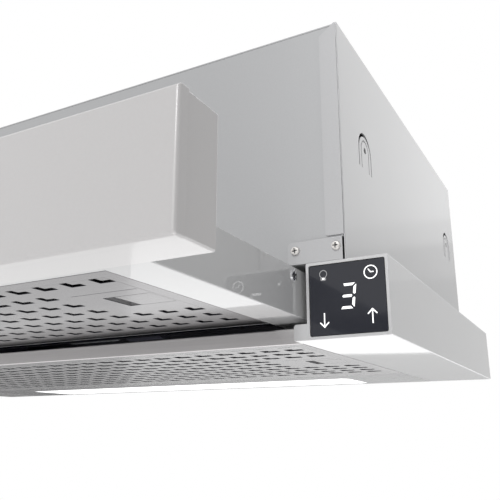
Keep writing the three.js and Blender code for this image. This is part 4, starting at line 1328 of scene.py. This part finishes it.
for node, look in panelLook["plates"].items():
    makeCushion(node, look)
makeDrawerFrontRail()
makeDrawerCover()
for word, side in sides:
    makeDrawerSide(word, side)
    makeStopScrew(word, side)
print("drawer done")

# The front lip of the base, a folded cross rail with its left end relieved.
railLook = inMetres({
    "plate": 1.2, "lip": 1.5, "bend": 0.9, "tip": (0.5, 0.4), "inside": 0.2, "edge": 0.12, "relief": (12, 2),
})


def makeFrontLip():
    low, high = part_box("base_front_lip")
    look = railLook
    rear, under = low.y + look["lip"], high.z - look["plate"]
    corners = [
        (low.y, low.z), (rear, low.z), (rear, under), (high.y, under), (high.y, high.z), (low.y, high.z),
    ]
    rounds = [*look["tip"], look["inside"], 0, 0, look["bend"]]
    lip = plate("frontLip", "x", softened(corners, rounds, 4), low.x, high.x, edge=look["edge"])
    long, deep = look["relief"]
    relief = rectangle(low.x - mm, low.x + long, rear, high.y + mm)
    cutAway(lip, plate("relief", "z", relief, high.z - deep, high.z + mm))
    dress(lip, "lipSteel", "brushed_steel", "housing", "base_front_lip")


makeFrontLip()
print("rails done")

# Grease filters: a bevelled rim round a field of punched angled slots.
filterShape = inMetres({
    "sheet": 0.8,
    "field": 0.35,
    "height": 7.2,
    "rim": 7.5,
    "rimEdge": 0.1,
    "pins": 1.2,
    "recess": 0.05,
    "slotEdge": 0.08,
    "slotRound": 0.3,
    "mouthRound": 0.8,
    "chamfer": 0.1,
    "grow": (0.25, 0.2),
    "slit": 0.7,
    "line": 0.35,
    "fit": 0.3,
    "endFit": 0.04,
    "scoop": {
        "sheet": 0.3, "low": 2.3, "high": 4.6, "over": 1.5, "lap": 0.05,
        "notch": 1.3, "notchHalf": 6.5,
    },
    "clear": (7, 20, 2),
    "brightMargin": 2,
})
# Margins and starts are counted from the right, the front and the rear; pitch, arms and cut are those
# of the slots, and slits is a row of thin ones at the front.
filterPlans = inMetres({
    "base": {
        "body": "base_filter", "latchBody": "base_latch",
        "margin": 10.5, "start": 23.9, "end": 8, "pitch": (15.4, 16.3),
        "arms": (9.3, 6), "cut": (10.2, 7.6, 5), "latch": (8.5, 18.5, 77.7, 20.5),
        "pocket": 6, "line": (45.9, 8), "slits": (8.4, 8.3),
    },
    "drawer": {
        "body": "drawer_filter", "latchBody": "drawer_latch",
        "margin": 8.5, "start": 15.3, "end": 8, "pitch": (15.35, 16.65),
        "arms": (7.3, 7), "cut": (8, 7.6, 3.8), "latch": (8.8, 19.4, 38.7, 19.3),
        "pocket": 6.7, "line": (45, 9.5), "slits": None,
    },
})


def latchPlace(plan, low, high):
    # latch holds the plate's inset from the right, its width, its start from the front and its depth.
    inset, width, start, depth = plan["latch"]
    x1, y0 = high.x - inset, low.y + start
    return x1 - width, x1, y0, y0 + depth


def filterHoles(plan, low, high):
    # Columns of angled slots from the right to the left, clear of the pressed line and of the latch.
    shape = filterShape
    corner = shape["slotRound"]
    x0, x1, y0, y1 = latchPlace(plan, low, high)
    lineX, lineY = high.x - plan["line"][0], y0 - plan["line"][1]
    armX, armY = plan["arms"]
    nearLine, nearPlate, nearEnd = shape["clear"]
    pitchX, pitchY = plan["pitch"]
    cutX, cutY, stroke = plan["cut"]
    holes = []
    x = high.x - plan["margin"] - armX
    while x > low.x + plan["margin"] - 0.01 * mm:
        y = low.y + plan["start"]
        if plan["slits"]:
            front, length = plan["slits"]
            slit = rectangle(x, x + length, low.y + front, low.y + front + shape["slit"])
            holes.append(softened(slit, corner, 3))
        while y < high.y - plan["end"]:
            tip, foot = x + armX, y - cutY
            besideLine = abs(y - lineY) < armY and tip > lineX - nearLine
            beside = y > y0 - nearEnd and y - armY < y1 + nearEnd and tip > x0 - nearPlate
            if not (besideLine or beside):
                inner, lower = x + stroke, y - stroke
                slot = [(x, y), (x, foot), (inner, foot), (inner, lower), (x + cutX, lower), (x + cutX, y)]
                holes.append(softened(slot, corner, 3))
            y += pitchY
        x -= pitchX
    fit = shape["fit"]
    mouth = rectangle(x0 - plan["pocket"], x1 + shape["endFit"], y0 - fit, y1 + fit)
    holes.append(softened(mouth, shape["mouthRound"], 4))
    holes.append(rectangle(lineX, x1, lineY, lineY + shape["line"]))
    return holes


def makeFilter(word):
    plan, shape = filterPlans[word], filterShape
    node = word + "_filter_face"
    low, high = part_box(node)
    # The pins stand out at the front and the rear.
    pins = Vector((0, shape["pins"], 0))
    low, high = low + pins, high - pins
    sheet, rim, chamfer, bottom = shape["sheet"], shape["rim"], shape["chamfer"], low.z
    top, face = bottom + shape["height"], bottom + shape["recess"]
    profile = [
        (0, bottom + chamfer), (0, top), (sheet, top), (sheet, face + sheet),
        (rim, face + sheet), (rim, face), (sheet, bottom), (chamfer, bottom),
    ]
    grow = Vector((*shape["grow"], 0))
    frameRim = frameRing(word + "FilterRim", low - grow, high + grow, profile)
    roundEdges(frameRim, shape["rimEdge"], 2, 35)
    dress(frameRim, "filterSteel", "filter_steel", plan["body"])
    inset = Vector((rim, rim, 0)) - grow
    start, end = low + inset, high - inset
    field = rectangle(start.x, end.x, start.y, end.y)
    holes = filterHoles(plan, low, high)
    name = word + "FilterField"
    punched = plate(name, "z", field, face, face + shape["field"], holes, edge=shape["slotEdge"])
    dress(punched, "filterSteel", "filter_steel", plan["body"], node)
    # The cut edges of the slots take painted shade, dark as the shade inside the slots; the field's own edges
    # don't.
    margin = rim + shape["brightMargin"]

    def isCut(face):
        x, y, _ = face.center
        inside = abs(x) < high.x - margin and low.y + margin < y < high.y - margin
        return inside and abs(face.normal.z) < 0.5

    shadeFaces(punched, "shadePaint", isCut)
    makeScoop(word, plan, low, high, bottom)


def makeScoop(word, plan, low, high, bottom):
    # The finger pocket behind the opening beside the latch, over the way of its plate.
    shape = filterShape
    scoop = shape["scoop"]
    x0, _, y0, y1 = latchPlace(plan, low, high)
    left, right, sheet = x0 - plan["pocket"], x0 + scoop["over"], scoop["sheet"]
    lower, upper = bottom + scoop["low"], bottom + scoop["high"]
    foot = bottom + shape["recess"] + shape["field"] - scoop["lap"]
    # The latch's hook passes between the bowl's two ears when the latch is drawn.
    edge, middle, reach = x0 - scoop["notch"], (y0 + y1) / 2, scoop["notchHalf"]
    level = upper + (lower - upper) * (edge - left) / (right - left)
    bowl = [
        (left, foot), (left, upper), (edge, level), (edge, level + sheet), (left, upper + sheet),
        (left - sheet, upper + sheet), (left - sheet, foot),
    ]
    ear = [(edge, level), (right, lower), (right, lower + sheet), (edge, level + sheet)]
    wall = [(left, foot), (left, upper), (x0, lower + sheet), (x0, foot)]
    start, end = y0 - 2 * sheet, y1 + 2 * sheet
    runs = [
        (bowl, start, end), (ear, start, middle - reach), (ear, middle + reach, end),
        (wall, start, start + sheet), (wall, y1 + sheet, y1 + sheet + sheet),
    ]
    parts = [plate(word + "FilterScoop", "y", outline, first, last) for outline, first, last in runs]
    dress(gathered(*parts), "pocketSteel", "filter_steel", plan["body"])


def makeLatch(word):
    # The latch's plate lies level with the punched field, and its bolt reaches over the ledge.
    node = word + "_filter_latch"
    piece = copied(word + "FilterLatch", node)
    low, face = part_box(node)[0].z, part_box(word + "_filter_face")[0].z + filterShape["recess"]
    for vertex in piece.data.vertices:
        if vertex.co.z < low + 0.1 * mm:
            vertex.co.z = face
    dress(piece, "filterSteel", "filter_steel", filterPlans[word]["latchBody"], node)


for word in filterPlans:
    makeFilter(word)
    makeLatch(word)
print("filters done")

# The other CAD pieces keep their shape and get a finish of their own.
keptNodes = {
    "topPaint": ["body_top_sheet"],
    "bodyPaint": ["blank_plate"],
    "railPaint": ["base_rear_rail"],
    "zincCoat": [
        "guide_channel_right", "guide_channel_left", "scroll_wrap", "scroll_flange",
        "scroll_cheek_right", "scroll_cheek_left", "motor_spider", "flap_pin", "drawer_rear_rail",
    ],
    "zincBack": ["body_back_sheet"],
    # The drawer tie rail is painted dark as shade in the slit behind the lip; the capacitor shares the
    # finish.
    "shadePaint": ["drawer_tie_rail", "capacitor"],
    "packMetal": ["drawer_filter_mesh", "base_filter_mesh"],
    "circuitBoard": ["control_board", "lamp_board"],
    "nylon": ["drawer_runner_right", "drawer_runner_left"],
    "blackPlastic": ["impeller", "outlet_collar", "cable_gland", "drawer_switch"],
    "greyPlastic": ["motor", "flap_front", "flap_rear", "electronics_box"],
    "brightSteel": ["motor_shaft"],
    "lampLens": ["lamp_diffuser"],
}


def dressKept():
    for finish, names in keptNodes.items():
        for name in names:
            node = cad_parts[name]
            if not node.material_slots:
                node.data.materials.append(None)
            for slot in node.material_slots:
                slot.material = finishes[finish]


dressKept()
